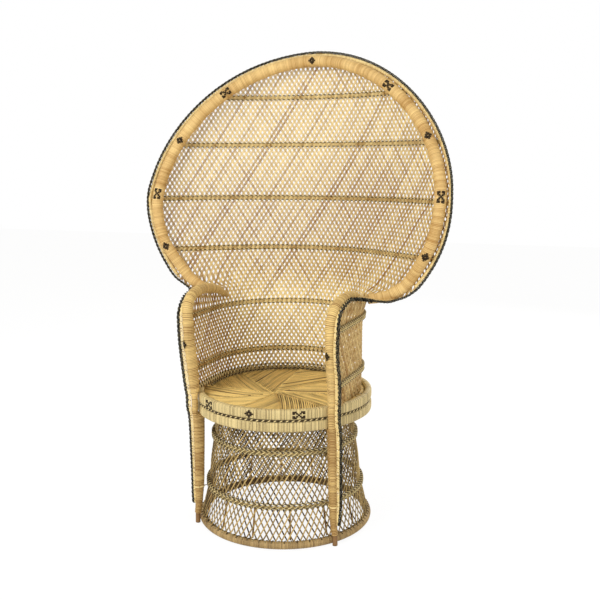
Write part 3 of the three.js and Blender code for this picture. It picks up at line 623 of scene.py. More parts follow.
FINISHES = {
    "weave": cane_finish("Pale woven cane", (248, 224, 158), (150, 108, 46), mark=(112, 78, 32),
                         mottling=0.05, marks=0.3),
    "hoop": cane_finish("Fan hoop peel", (234, 200, 132), (162, 116, 52), marks=0.1),
    "rim": cane_finish("Rim peel", (236, 214, 152), (104, 80, 44), mottling=0.05, marks=0.2),
    "arm": cane_finish("Arm peel", (234, 202, 130), (130, 88, 38), mottling=0.08, marks=0.2),
    "seat": cane_finish("Whorl cane", (240, 207, 126), (88, 60, 24), mottling=0.06, marks=0.3),
    "base": cane_finish("Base peel", (192, 162, 108), (92, 66, 34), marks=0.5),
    "skirt": cane_finish("Skirt strands", (204, 174, 112), (52, 34, 16), marks=0.4, gloss=0.15),
    "core": cane_finish("Core cane", (160, 122, 76), (84, 56, 32), marks=0.4),
    # Painted shade: a dark finish for the disc that shows between the seat's canes
    "painted_gap_shade": cane_finish("Painted shade backing", (80, 56, 28), (36, 24, 12), marks=0.2),
    "stitch": cane_finish("Two tone stitches", (228, 206, 150), (38, 25, 15), mottling=0, marks=0.1,
                          gloss=0.08),
    "lash": cane_finish("Two tone lashing", (230, 208, 148), (62, 44, 26), marks=0.3, gloss=0.15),
    "braid": cane_finish("Dark braid", (104, 98, 76), (20, 19, 16), mottling=0.05, marks=0.0, gloss=0.12),
}


# Making pieces

def finish_piece(obj, finish, nodes):
    obj.data.materials.append(FINISHES[finish])
    obj.data.polygons.foreach_set("use_smooth", np.ones(len(obj.data.polygons), bool))
    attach(obj, "root")
    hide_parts(*nodes)


def read_places(mesh):
    places = np.empty(len(mesh.vertices) * 3)
    mesh.vertices.foreach_get("co", places)
    return places.reshape(-1, 3)


def set_places(mesh, places):
    """Moves a mesh's points to places given in millimetres round the seat's axis."""
    mesh.vertices.foreach_set("co", (np.asarray(places) * MM + AXIS).ravel())


def set_tone(mesh, tone):
    attribute = mesh.attributes.new("tone", "FLOAT", "POINT")
    attribute.data.foreach_set("value", np.asarray(tone, np.float32))


def add_object(name, data):
    obj = bpy.data.objects.new(name, data)
    bpy.context.scene.collection.objects.link(obj)
    return obj


def mesh_from(bm, name):
    mesh = bpy.data.meshes.new(name)
    bm.to_mesh(mesh)
    bm.free()
    return mesh


def close_ends(mesh, join=0):
    """Fills a mesh's open ends, after joining points that lie as near as join."""
    bm = bmesh.new()
    bm.from_mesh(mesh)
    if join:
        bmesh.ops.remove_doubles(bm, verts=bm.verts, dist=join)
    ends = [edge for edge in bm.edges if edge.is_boundary]
    bmesh.ops.holes_fill(bm, edges=ends, sides=0)
    bmesh.ops.recalc_face_normals(bm, faces=bm.faces)
    bm.to_mesh(mesh)
    bm.free()


def section_curve(size, sides):
    """The outline of a strand: a flattened round."""
    curve = bpy.data.curves.new("section", "CURVE")
    curve.dimensions = "2D"
    spline = curve.splines.new("POLY")
    spline.points.add(sides - 1)
    for i, point in enumerate(spline.points):
        angle = TURN * (i + 0.5) / sides
        point.co = (size[0] / 2 * math.cos(angle), size[1] / 2 * math.sin(angle), 0, 1)
    spline.use_cyclic_u = True
    return add_object("section", curve)


def strand_mesh(lines, size, sides, loop):
    """Flat strands as one mesh, with each point's strand and its share along the strand."""
    section = section_curve(size, sides)
    curve = bpy.data.curves.new("strands", "CURVE")
    curve.dimensions = "3D"
    curve.twist_mode = "Z_UP"
    curve.bevel_mode = "OBJECT"
    curve.bevel_object = section
    for line in lines:
        spline = curve.splines.new("POLY")
        spline.points.add(len(line) - 1)
        spline.points.foreach_set("co", columns(*line[:, :3].T, 1).ravel())
        if line.shape[1] > 3:
            spline.points.foreach_set("radius", line[:, 3])
        spline.use_cyclic_u = loop
    holder = add_object("strands", curve)
    graph = bpy.context.evaluated_depsgraph_get()
    mesh = bpy.data.meshes.new_from_object(holder.evaluated_get(graph))
    for thing in (holder, section):
        bpy.data.objects.remove(thing)
    which = np.repeat(np.arange(len(lines)), [len(line) * sides for line in lines])
    share = np.concatenate([np.repeat(np.linspace(0, 1, len(line)), sides) for line in lines])
    return mesh, which, share


def strands(name, lines, size, place, finish, nodes, tones, sides=6, seed=1, drift=0.08, loop=False,
            shade=None):
    """Strands drawn flat, then laid by place(x, y, z). A tone per strand goes with them, and
    shade(x, y, z) makes it deeper or paler in places, with painted light and shade."""
    mesh, which, share = strand_mesh(lines, size, sides, loop)
    rng = np.random.default_rng(seed)
    waves, starts = rng.uniform(0.5, 2.5, len(lines)), rng.uniform(0, TURN, len(lines))
    wander = np.sin(share * TURN * waves[which] + starts[which])
    flat = read_places(mesh)
    set_places(mesh, place(*flat.T))
    tone = np.asarray(tones, float)[which] + drift * wander
    set_tone(mesh, tone + (shade(*flat.T) if shade else 0))
    if not loop:
        close_ends(mesh)
    finish_piece(add_object(name, mesh), finish, nodes)


def cane(name, track, size, finish, nodes, tone=0.3, sides=12, seed=2, loop=False, knuckles=None):
    """One plain cane along a track, with knuckles where it has them."""
    x = np.linspace(0, track.length, max(int(track.length / 5), 3))
    swell = np.ones(len(x))
    if knuckles:
        first, apart, lift = knuckles
        swell += lift * np.exp(-((np.mod(x - first + apart / 2, apart) - apart / 2) / 3.5) ** 2)
    line = columns(x, 0, 0, swell)
    line = line[:-1] if loop else line
    strands(name, [line], size, track.place, finish, nodes, [tone], sides=sides, seed=seed,
            loop=loop)


def sleeve(name, track, along, around, reach, finish, nodes, tone):
    """A wrapping: a flat grid rolled up round a line. reach(x, angle) is how far out it is."""
    bm = bmesh.new()
    bmesh.ops.create_grid(bm, x_segments=along, y_segments=around, size=0.5)
    mesh = mesh_from(bm, name)
    flat = read_places(mesh) + 0.5
    x, angle = flat[:, 0] * track.length, flat[:, 1] * TURN
    out, side = reach(x, angle)
    set_places(mesh, track.place(x, side, out))
    set_tone(mesh, tone(x, angle))
    close_ends(mesh, join=0.00002)
    finish_piece(add_object(name, mesh), finish, nodes)


def turn_tones(length, pitch, seed, spread, base, slow, groove):
    """A tone for each turn of a wrapping, as one peel after another is used up, and painted shade in the
    groove between turns.
    """
    rng = np.random.default_rng(seed)
    count = int(length / pitch) + 3
    peel_turns = 14
    each = base + rng.random(count) * spread
    knots = rng.random(count // peel_turns + 3) * slow
    each = each + np.repeat(knots, peel_turns)[:count]
    # Painted shade in the groove between turns, deeper between some turns than others
    painted_groove_shades = groove * (0.4 + 1.2 * rng.random(count) ** 2)

    def tone(x, _):
        turn = x / pitch
        nearest = np.clip(np.round(turn).astype(int), 0, count - 1)
        between = np.abs(turn - nearest) < 0.1
        return each[np.clip((turn + 0.01).astype(int), 0, count - 1)] + np.where(between, painted_groove_shades[nearest], 0)

    return tone


def ridge(x, pitch, depth):
    """How far a wrapping's surface lies below its turns' tops."""
    phase = np.mod(x / pitch, 1)
    return -depth * (1 - np.minimum(np.sin(math.pi * phase) * 1.8, 1))


def wrapped(name, track, pitch, radii, finish, nodes, seed, spread=0.3, base=0.0, slow=0.2, groove=0.4,
            around=16, depth=0.8, shade=None):
    """Peel wound round a cane: a sleeve with a ridge for every turn. radii are how far it reaches
    out, in and to the sides, or a function that gives them along the track."""
    turns = int(round(track.length / pitch))
    pitch = track.length / turns
    # groove sets how deep the painted shade between turns is
    tones = turn_tones(track.length, pitch, seed, spread, base, slow, groove)

    def reach(x, angle):
        ahead, behind, side = radii(x) if callable(radii) else radii
        lower = ridge(x, pitch, depth)
        cos, sin = np.cos(angle), np.sin(angle)
        return (np.where(cos > 0, ahead, behind) + lower) * cos, (side + lower) * sin

    # shade adds painted shade, such as on the legs below the seat and on the base hoop's inner side
    def tone(x, angle):
        return tones(x, angle) + (shade(track, x, angle) if shade else 0)

    sleeve(name, track, turns * 3, around, reach, finish, nodes, tone)


def plait(length, pitch, wide, high, points, count=3):
    """Flat lines of a plait of two or three strands, to be laid along a track."""
    x = np.linspace(0, length, int(length / pitch * points))
    out = []
    for k in range(count):
        turn = TURN * (x / pitch + k / count)
        lift = np.sin(2 * turn) if count == 3 else np.cos(turn)
        out.append(columns(x, wide * np.sin(turn), high * lift))
    return out


def motif(name, place, pattern, wide, high, nodes):
    """A stitched motif: dark peel over the turns, drawn flat round its own middle."""
    rows, turns = len(pattern), len(pattern[0])
    tail, stroke, lift = 0.22, 1.4, 0.5
    lines = []
    for row, marks in enumerate(pattern):
        y = ((rows - 1) / 2 - row) * high / rows
        for start in range(turns):
            if marks[start] != "#" or (start and marks[start - 1] == "#"):
                continue
            stop = start + len(marks[start:].split(".")[0])
            ends = np.linspace(start - tail, stop + tail, 3 * (stop - start) + 1)
            arch = lift * np.sin(np.linspace(0, math.pi, len(ends)))
            lines.append(columns((ends / turns - 0.5) * wide, y, arch))
    size = (high / rows * stroke, stroke)
    strands(name, lines, size, place, "stitch", nodes, [1.0] * len(lines), seed=5, drift=0.05)


def round_place(track, x, facing, radius):
    """Lays flat work on a round wrapping, about a place along it, on the side that looks one way."""
    turn = track.turn_toward(x, facing)

    def place(along, across, lift):
        angle = turn + across / radius
        reach = radius + 0.5 + lift
        return track.place(x + along, reach * np.sin(angle), reach * np.cos(angle))

    return place


def twined_rows(length, pitch, spacing, closer, swing, wide):
    """Two rows of two strands twined round the sheet: one dark strand and one pale in each."""
    x = np.linspace(0, length, int(length / pitch * 8))
    lines, tones = [], []
    for row in (-spacing, spacing):
        for k, tone, size in ((0, 0.9, 1.1), (1, 0.05, 0.85)):
            turn = TURN * x / pitch + math.pi * k + row
            out = closer + swing * np.tanh(2 * np.sin(turn))
            lines.append(columns(x, row + wide * np.cos(turn), out, size))
            tones.append(tone)
    return lines, tones


def crossed_lashing(length, pitch, rng, reach, base, bulge):
    lines, tones = [], []
    share = np.linspace(0, 1, 9)
    for i in range(int(round(length / pitch))):
        for lean in (1, -1):
            x = pitch * (i + 0.5 + lean * (share - 0.5) * 1.1)
            z = base + (bulge + 0.3 * lean) * np.sin(math.pi * share)
            lines.append(columns(x, mixed(-reach, reach, share), z))
            tones.append(0.08 + 0.3 * rng.random() + (0.6 if lean < 0 else 0))
    return lines, tones


def lashed_band(node, track, pitch, lash_pitch, twine, lashing, sizes, finish, tone, seeds, loop=False):
    """A pale cane on a sheet, held by two twined rows that show dark stitches, and lashed across."""
    lines, tones = twined_rows(track.length, pitch, **twine)
    lines = [line[:-1] for line in lines] if loop else lines
    strands(f"{node}_stitches", lines, sizes[0], track.place, "stitch", [node], tones,
            seed=seeds[0], drift=0, loop=loop)
    lines, tones = crossed_lashing(track.length, lash_pitch, np.random.default_rng(seeds[1]), **lashing)
    strands(f"{node}_lashing", lines, sizes[1], track.place, "lash", [node], tones,
            seed=seeds[2])
    cane(f"{node}_cane", track, sizes[2], finish, [node], tone=tone, sides=8, seed=seeds[3], loop=loop)


# The back

def weave_line(index, rising, offset, low, high):
    """One strand of the diagonal weave, over and under the ones it crosses, between two edges."""
    step = CELL_HIGH / 4
    count = int((high - low) / step) + 2
    h = low + np.arange(count) * step
    lean = 1 if rising else -1
    d = CELL_WIDE * index + lean * (h - low) * CELL_WIDE / CELL_HIGH + offset
    inside = np.abs(d) < reach_at(h) - EDGE_ROOM
    over_under = np.cos(math.pi * np.arange(count) / 2 + math.pi * index)
    return h, d, inside, over_under * lean


def runs(h, d, inside, wave):
    """The stretches of a strand that lie on the sheet, with their ends brought to its edge."""
    shortest = 6
    marks = np.flatnonzero(np.diff(np.concatenate([[0], inside.astype(int), [0]])))
    found = []
    for start, stop in marks.reshape(-1, 2):
        if stop - start < 2:
            continue
        part = slice(max(start - 1, 0), min(stop, len(h) - 1) + 1)
        hh, dd, ww = h[part].copy(), d[part].copy(), wave[part].copy()
        for end, near in ((0, 1), (-1, -2)):
            for share in np.linspace(1, 0, 13):
                height, away = mixed(hh[near], hh[end], share), mixed(dd[near], dd[end], share)
                if abs(away) < reach_at(height)[0] - EDGE_ROOM:
                    break
            hh[end], dd[end] = height, away
        if abs(hh[0] - hh[-1]) > shortest:
            wider = 1 + 0.15 * (1 - smooth((hh - WALL_TOP) / 200))
            found.append(columns(dd, hh, 0.95 * ww, wider))
    return found


def back_painted_light_and_tone(distance, height, _):
    """Painted shade at the wall's sides, which lie in shadow, and painted light mid wall; deeper low on the
    fan and in its browner patch.
    """
    # on_wall and at_side paint light and shade: paler in the middle of the wall, darker at its sides
    on_wall = 1 - smooth((height - WALL_TOP + 60) / 120)
    low_on_fan = (1 - on_wall) * (1 - smooth((height - 900) / 260))
    at_side = smooth((np.abs(distance) - 200) / 160)
    patch = np.exp(-((distance - PATCH[0]) / 110) ** 2 - ((height - PATCH[1]) / 150) ** 2)
    return on_wall * (-0.22 + 0.54 * at_side) + 0.2 * low_on_fan + 0.25 * patch


def back_weave():
    rng = np.random.default_rng(11)
    span = int(1600 / CELL_WIDE)
    aside = 1 / math.sin(math.atan2(CELL_HIGH, CELL_WIDE))
    for lean, rising, base, spread in (("rising", True, 0.16, 0.66), ("falling", False, 0.4, 0.24)):
        tone_of = {}
        for index in range(-span, span):
            darker = 0.5 if rising and index in DOUBLE_LINE else 0
            tone_of[index] = base + spread * rng.random() ** 3 + darker
        for pair, offset in (("a", -PAIR_HALF), ("b", PAIR_HALF)):
            lines, tones = [], []
            for index in range(-span, span):
                found = runs(*weave_line(index, rising, offset * aside, SEAT_TOP + 0.6, TOP_MIDDLE))
                lines += found
                tones += [tone_of[index] + rng.random() * 0.1] * len(found)
            # shade paints light and shade on the wall, and deepens the fan's tone low down and in a patch
            strands(f"back_weave_{lean}_{pair}", lines, WEAVE_STRAND, on_sheet, "weave",
                    ["back_weave"], tones, seed=21, drift=0.12, shade=back_painted_light_and_tone)


def back_band(node):
    """A band behind the sheet, from edge to edge at its own height."""
    distance, middle = level_line(level_of(node), 12)
    line = on_sheet(distance, middle, np.full(len(distance), SHEET_HALF + 3.6))
    rows = even(np.hstack([line, behind_sheet(distance, middle)]), 3)
    lashed_band(node, Track(rows, rows[:, 3:]), CELL_WIDE, CELL_WIDE / 2, **BACK_BAND)


def from_fan_middle(line):
    return line - np.array([0, 150, FAN_WAIST])


def hoop_track():
    out, back, up = np.array(HOOP_END_SHARES).T
    end = columns(toward_fan(out), back * NOTCH_FORWARD, up * NOTCH_HEIGHT)
    edge, inward, front = fan_edge(math.radians(-21))
    along = edge + HOOP_INSET * inward + HOOP_FORWARD * front
    return Track(even(through(over(np.vstack([end, along[::6]]))), 2), from_fan_middle)


def fan_hoop():
    track = hoop_track()

    def radii(x):
        toward = np.minimum(x, track.length - x) / track.length / 0.05
        return [HOOP_RADIUS * mixed(0.85, 1, smooth(toward))] * 3

    wrapped("fan_hoop_wrapping", track, HOOP_PITCH, radii, "hoop", ["fan_hoop_wrap"], 41,
            spread=0.35, slow=0.35)
    cane("fan_hoop_core", track, HOOP_CORE, "core", ["fan_hoop_cane"])
    facing = np.array([0.25, -0.97, 0])
    above_band, hoop_start = 12, 760
    marks = [("crown", 0.5 * track.length, DIAMOND)]
    half = track.line[: len(track.line) // 2, 2]
    for i, pattern in ((4, CROSS), (3, DIAMOND), (2, CROSS), (1, DIAMOND)):
        away = np.abs(half - level_of(f"fan_band_{i}") - above_band) + 400 * (half < hoop_start)
        x = track.at[np.argmin(away)]
        marks += [(f"band_{i}_left", x, pattern), (f"band_{i}_right", track.length - x, pattern)]
    for where, x, pattern in marks:
        place = round_place(track, x, facing, HOOP_RADIUS)
        motif(f"hoop_motif_{where}", place, pattern, 4.6 * len(pattern[0]), 22, ["fan_hoop_wrap"])


def fan_trim():
    """Outside the hoop: pale peel bound over the sheet's edge, then the dark braid."""
    edge, inward, front = fan_edge()
    rows = even(through(over(np.hstack([edge + 6.5 * inward, front])), 4), 2)
    wrapped("fan_edge_binding", Track(rows, rows[:, 3:]), BINDING_PITCH, BINDING_RADII, "weave",
            ["back_weave"], 42, around=8, depth=1.0, slow=0.1, groove=0.45)
    line = even(through(line_of("fan_braid", 0), 8), 2)
    track = Track(line - unit(from_fan_middle(line)) * 1.1, np.array([0, -1, 0]))
    lines = plait(track.length, BRAID_PITCH, 2.4, 1.3, 18)
    strands("fan_edge_braid", lines, EDGE_BRAID, track.place, "braid", ["fan_braid"],
            [0.75, 1.0, 0.4], seed=51)


# The arms and front legs

def arm_painted_shade_and_low_tone(track, x, _):
    """Painted shade below the seat, where the seat shades the legs, and deeper again toward the floor."""
    height = track.column(x, track.line)[:, 2]
    return 0.18 * (1 - smooth((height - 330) / 120)) + 0.15 * smooth((150 - height) / 100)


def arm(side, name):
    wrap = [f"{name}_arm_wrap"]
    rows = even(through(mirrored(ARM, side), 16), 1.2)
    start = np.searchsorted(rows[:, 2], ARM_FOOT)
    peel = Track(rows[start:], from_axis)

    def radii(x):
        return peel.column(x, rows[start:, 3:6]).T

    # The peel gets painted shade below the seat
    wrapped(f"{name}_arm_wrapping", peel, ARM_PITCH, radii, "arm", wrap, 61 if side > 0 else 62,
            slow=0.25, base=-0.05, groove=0.9, depth=1.0, shade=arm_painted_shade_and_low_tone)
    core = even(through(mirrored(line_of("right_arm_cane", 2), side)), 3)
    core[0] = mixed(core[0], core[1], 0.2)
    cane(f"{name}_arm_core", Track(core, from_axis), ARM_CORE, "core", [f"{name}_arm_cane"], tone=0.35,
         sides=14)
    facing = np.array([-0.5, -0.87, 0])
    place = round_place(peel, peel.x_at_height(574), facing, ARM_MOTIF_RADIUS)
    motif(f"{name}_arm_motif", place, DIAMOND, 22, 17, wrap)
    x = peel.x_at_height(118)
    out, back, aside = radii(np.array([x]))
    angle = np.linspace(0, TURN, 25)[:-1]
    reach = np.where(np.cos(angle) > 0, out + 1, back + 1) * np.cos(angle)
    loops = [columns(x + 2.2 * k, (aside + 1) * np.sin(angle), reach) for k in range(2)]
    strands(f"{name}_leg_loops", loops, LEG_LOOP, peel.place, "weave", [f"{name}_leg_tie"],
            [0, 0.1], loop=True)


def strip_rows(node):
    """The arm strip's middle line from foot to end, with its width along it."""
    sections = rings_of(node)
    if sections[0][:, 2].mean() > sections[-1][:, 2].mean():
        sections = sections[::-1]
    middles = np.array([section.mean(0) for section in sections])
    diagonals = [max(np.linalg.norm(a - b) for a in section for b in section) for section in sections]
    widths = np.sqrt(np.maximum(np.square(diagonals) - STRIP_THICK ** 2, 1))
    return even(through(columns(*middles.T, widths), 8), 2)


def arm_trim(side, name):
    """The strip's lattice of lengthwise and cross strands, and the dark plait on its edge."""
    rows = strip_rows(f"{name}_arm_strip")
    forward = np.array([0, -1, 0.3])
    strip = Track(rows, forward)
    rng = np.random.default_rng(71)
    x = np.linspace(0, strip.length, int(strip.length / 2))
    half = np.interp(x, strip.at, rows[:, 3]) / 2
    lines = [columns(x, row * half, 0.5 * np.cos(x * TURN / 8 + row * 4)) for row in (-0.8, 0, 0.8)]
    tones = [0.0, 0.0, 0.0]
    share = np.linspace(-1, 1, 5)
    for i in range(int(strip.length / 4)):
        middle = i * 4 + 2
        reach = np.interp(middle, strip.at, rows[:, 3]) / 2
        lines.append(columns(middle + share, reach * share, 0.9 * np.cos(share * 3 + i * math.pi)))
        tones.append(rng.choice([0.0, 0.15, 1.0], p=[0.5, 0.25, 0.25]))
    strands(f"{name}_arm_lattice", lines, ARM_LATTICE, strip.place, "weave",
            [f"{name}_arm_strip"], tones, seed=72)
    line = even(through(line_of(f"{name}_arm_braid", 2)), 2)
    track = Track(line + np.array([0, 1.3, 0]), forward)
    lines = plait(track.length, BRAID_PITCH, 3.4, 1.5, 18)
    for line in lines:
        line[:, 1:] *= 1 + 0.6 * smooth((line[:, :1] - track.length + 110) / 60)
    strands(f"{name}_arm_plait", lines, ARM_BRAID, track.place, "braid", [f"{name}_arm_braid"],
            [0.75, 1.0, 0.4], seed=73)


def notch_knot(side, name):
    node = f"{name}_notch_knot"
    arm_end = line_of(f"{name}_arm_braid", 2)[-1]
    fan_end = line_of("fan_braid", 0)[-1 if side > 0 else 0]
    lift = level_of(node) - (arm_end[2] + fan_end[2]) / 2
    middle = mixed(arm_end, fan_end, 0.5) + np.array([0, 0, lift])
    track = Track(even(through(np.array([arm_end, middle, fan_end])), 1), UP)
    lines = plait(track.length, KNOT_PITCH, 4.6, 3.8, 24)
    strands(f"{name}_notch_plait", lines, KNOT_BRAID, track.place, "braid", [node],
            [0.8, 1.0, 0.5], seed=74)


def leg_tie(side, name):
    node = f"{name}_leg_tie"
    low, high = box_of(node)
    near, far = (low[0], high[0]) if side > 0 else (high[0], low[0])
    track = Track(np.linspace([near, high[1], level_of(node)], [far, low[1], level_of(node)], 24), UP)
    lines = plait(track.length, 7, 0.7, 0.7, 16, 2)
    strands(f"{name}_leg_cord", lines, LEG_CORD, track.place, "core", [node], [0.3, 0.9],
            seed=75)


# The seat

def rim_outline(depth, height, angle):
    """How far out and up a soft-cornered band's outline is, at each angle round it."""
    cos, sin = np.cos(angle), np.sin(angle)
    total = np.abs(cos * 2 / depth) ** RIM_ROUNDING + np.abs(sin * 2 / height) ** RIM_ROUNDING
    scale = total ** (-1 / RIM_ROUNDING)
    return scale * cos, scale * sin


def rim_band(node, seed):
    low, high = box_of(node)
    track = round_track(high[0] - RIM_DEPTH / 2, level_of(node))
    pitch = track.length / RIM_TURNS

    def reach(x, angle):
        out, up = rim_outline(RIM_DEPTH - 2 * STITCH_ROOM, high[2] - low[2], angle)
        lower = ridge(x, pitch, 0.6)
        return out + lower * np.cos(angle), up + lower * np.sin(angle)

    # groove gives the rim strong painted shade between its turns
    tones = turn_tones(track.length, pitch, seed, spread=0.27, base=-0.02, slow=0.06, groove=1.1)
    sleeve(f"{node}_wrapping", track, RIM_TURNS * 3, 20, reach, "rim", [node], tones)
    return track


def rim_motifs(track):
    """Two crosses and a diamond on the front of the rim's upper band."""
    for name, angle, pattern in (("left", -33, CROSS), ("middle", 0.5, DIAMOND), ("right", 31, CROSS)):
        x = math.radians(angle % 360) * track.length / TURN

        def place(along, across, lift, x=x):
            return track.place(np.mod(x + along, track.length), across, RIM_DEPTH / 2 - 1.3 + lift)

        motif(f"rim_motif_{name}", place, pattern, 4.7 * len(pattern[0]), 21, ["seat_rim_upper"])


def rim_twist():
    """The two-colour cord in the groove between the bands, and a dark cane behind it that paints the groove's
    shadow.
    """
    node = "seat_rim_cord"
    outside = box_of(node)[1][0]
    track = round_track(outside - 3.7, level_of(node))
    pitch = track.length / round(track.length / 17)
    lines = [line[:-1] for line in plait(track.length, pitch, 1.6, 1.2, 12, 2)]
    strands("seat_rim_twist", lines, TWIST_STRAND, track.place, "stitch", [node], [1.0, 0.0],
            seed=133, drift=0, loop=True)
    # A dark cane in the groove behind the cord: painted shadow
    shadow = round_track(outside - 3.6, level_of(node))
    line = columns(np.linspace(0, shadow.length, int(shadow.length / 5)), 0, 0)[:-1]
    strands("seat_rim_shadow", [line], TWIST_SHADOW, shadow.place, "stitch", [node], [0.85],
            sides=8, seed=2, loop=True)


def whorl_cane(bay, aside, rng):
    """One cane of a bay: it starts on the next bay's side and runs out to the rim."""
    first = TURN * bay / WHORL_BAYS - math.radians(20)
    along = np.array([math.cos(first), math.sin(first)])
    across = np.array([-along[1], along[0]])
    start = aside / math.tan(TURN / WHORL_BAYS) - 4
    reach = start + np.linspace(0, 1, 240) * (WHORL_REACH - start)
    bow = WHORL_BOW * reach ** 2 + 0.9 * rng.random()
    points = WHORL_MIDDLE + np.outer(reach, along) + np.outer(aside - bow, across)
    inside = np.hypot(*points.T) < WHORL_RADIUS
    if not inside[0] or inside.sum() < 6:
        return None
    points = points[: np.argmin(inside)] if not inside.all() else points
    keep = np.unique(np.linspace(0, len(points) - 1, max(len(points) // 9, 3)).astype(int))
    away = reach[keep] - start
    height = SEAT_TOP - 3 + 1.7 * np.exp(-away / 16) + rng.random() * 0.7 + 0.4 * np.sin(away / 30 + aside)
    slim = mixed(0.82, 1, smooth(away / 120)) * mixed(0.86, 1.06, rng.random())
    return columns(*points[keep].T, height, slim)


def seat_whorl():
    """Canes laid side by side in bays that turn round the middle of the seat."""
    rng = np.random.default_rng(81)
    lines, tones = [], []
    for bay in range(WHORL_BAYS):
        for k in range(52):
            line = whorl_cane(bay, (k + 0.5) * WHORL_PITCH, rng)
            if line is not None:
                lines.append(line)
                tones.append(0.58 * rng.random() ** 2 + (0.45 if rng.random() < 0.1 else 0))
    strands("seat_whorl", lines, SEAT_CANE, columns, "seat", ["seat_weave"], tones, sides=8,
            seed=82, drift=0.12)


def seat_painted_shade_disc():
    """A dark disc under the seat's canes: painted shade that shows between them."""
    bm = bmesh.new()
    bmesh.ops.create_cone(bm, cap_ends=True, cap_tris=False, segments=96, radius1=246.8, radius2=247.3,
                          depth=4)
    bmesh.ops.translate(bm, verts=bm.verts, vec=(0, 0, SEAT_TOP - 7))
    edges = [e for e in bm.edges if not e.is_boundary and e.calc_face_angle(0) > 0.5]
    bmesh.ops.bevel(bm, geom=edges, offset=0.8, offset_type="OFFSET", segments=2, profile=0.5, affect="EDGES",
                    material=-1)
    mesh = mesh_from(bm, "seat_painted_shade_disc")
    set_places(mesh, read_places(mesh))
    set_tone(mesh, np.full(len(mesh.vertices), 0.4))
    finish_piece(add_object("seat_painted_shade_disc", mesh), "painted_gap_shade", ["seat_weave"])


def seat_frame():
    low, high = box_of("seat_inner_hoop")
    thick = high[2] - low[2]
    hoop = round_track(high[0] - thick / 2, level_of("seat_inner_hoop"), 240)
    cane("seat_carrier_hoop", hoop, (thick, thick), "core", ["seat_inner_hoop"], sides=14, loop=True)
    for i in range(1, 5):
        low, high = box_of(f"seat_brace_{i}")
        size = high - low
        along = np.array([1, 0, 0]) if size[0] > size[1] else np.array([0, 1, 0])
        half = max(size[0], size[1]) / 2
        middle = (low + high) / 2
        track = Track(even(np.array([middle - along * half, middle + along * half]), 5), UP)
        cane(f"seat_bearer_{i}", track, SEAT_BEARER, "core", [f"seat_brace_{i}"], tone=0.25, seed=90 + i,
             knuckles=(60, 130, 0.05))


def seat_back_trim():
    """Where the wall meets the seat: a dark plait, and the weave's ends stitched down above it."""
    track = Track(even(through(line_of("seat_back_braid", 0), 8), 2), UP)
    lines = plait(track.length, CELL_WIDE, 1.8, 1.6, 12, 2)
    strands("seat_back_plait", lines, SEAT_PLAIT, track.place, "stitch", ["seat_back_braid"],
            [1.0, 0.55], seed=95)
    reach = reach_at(SEAT_TOP + 12)[0] - 8
    d = np.arange(-reach, reach, CELL_WIDE / 4)
    lines = []
    for shift in (0, 1):
        wave = np.abs(np.mod(np.arange(len(d)) / 4 + shift / 2, 1) - 0.5) * 2
        lines.append(columns(d, SEAT_TOP + 8 + 16 * wave, -SHEET_HALF - 1.2 - 0.8 * shift))
    strands("seat_back_stitches", lines, SEAT_STITCH, on_sheet, "stitch", ["seat_back_braid"],
            [1.0, 0.05], seed=96, drift=0.03)


def loose_strand():
    """A pale end of cane that stands off the inside of the left wall."""
    height, share = np.linspace(605, 500, 20), np.linspace(0, 1, 20)
    line = columns(-reach_at(height) + 34 + 5 * np.sin(share * 4), height, -6 - 5 * np.sin(share * math.pi))
    strands("loose_cane_end", [line], LOOSE_END, on_sheet, "weave", ["back_weave"], [0.0],
            seed=97)


# The skirt and base

def on_skirt(x, y, z):
    """x round the skirt in shares of a strand's pitch, y up its outline, z out from it."""
    angle = x * TURN / (SKIRT_COUNT * CELL_WIDE)
    radius = np.interp(y, SKIRT_AT, SKIRT[:, 0]) + z * np.interp(y, SKIRT_AT, SKIRT_OUT[:, 0])
    height = np.interp(y, SKIRT_AT, SKIRT[:, 1]) + z * np.interp(y, SKIRT_AT, SKIRT_OUT[:, 1])
    return columns(radius * np.sin(angle), -radius * np.cos(angle), height)


def skirt_weave():
    """Open diamonds at the foot that close up toward the seat."""
    rng = np.random.default_rng(101)
    y = np.linspace(0, SKIRT_AT[-1], 50)
    closing = mixed(1, 1.75, smooth((y - 60) / 280))
    sideways = np.concatenate([[0], np.cumsum(np.diff(y) * closing[1:] * CELL_WIDE / SKIRT_CELL)])
    wider = 1 + 0.3 * smooth((y / SKIRT_AT[-1] - 0.6) / 0.3)
    for name, lean, out in (("rising", 1, 0.9), ("falling", -1, -0.9)):
        lines, tones = [], []
        for index in range(SKIRT_COUNT):
            x = CELL_WIDE * index + lean * sideways + rng.normal(0, 0.9)
            z = out * (0.45 + 0.35 * np.cos(math.pi * np.arange(len(y)) / 2 + index * math.pi))
            lines.append(columns(x, y, z, wider))
            # Falling strands lie inside the skirt and take a deeper tone: painted shade of its shaded inner
            # face
            tones.append((0.05 if lean > 0 else 0.5) + 0.5 * rng.random())
        strands(f"skirt_weave_{name}", lines, SKIRT_STRAND, on_skirt, "skirt", ["skirt_weave"],
                tones, seed=102, drift=0.15)


def skirt_band(node):
    height = level_of(node)
    radius = np.interp(height, SKIRT[:, 1], SKIRT[:, 0]) + SKIRT_HALF + 4
    track = round_track(radius, height)
    pitch = track.length / SKIRT_COUNT
    lashed_band(node, track, pitch, pitch, loop=True, **SKIRT_BAND)


def skirt_stakes():
    for node in sorted(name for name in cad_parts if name.startswith("skirt_stake")):
        line = short_line_of(node)
        track = Track(even(line, 5), from_axis(line.mean(0)))
        cane(node.replace("skirt_stake", "stake_cane"), track, STAKE_CANE, "core", [node], tone=0.15, sides=8,
             seed=int(node[-2:]), knuckles=(50, 200, 0.12))


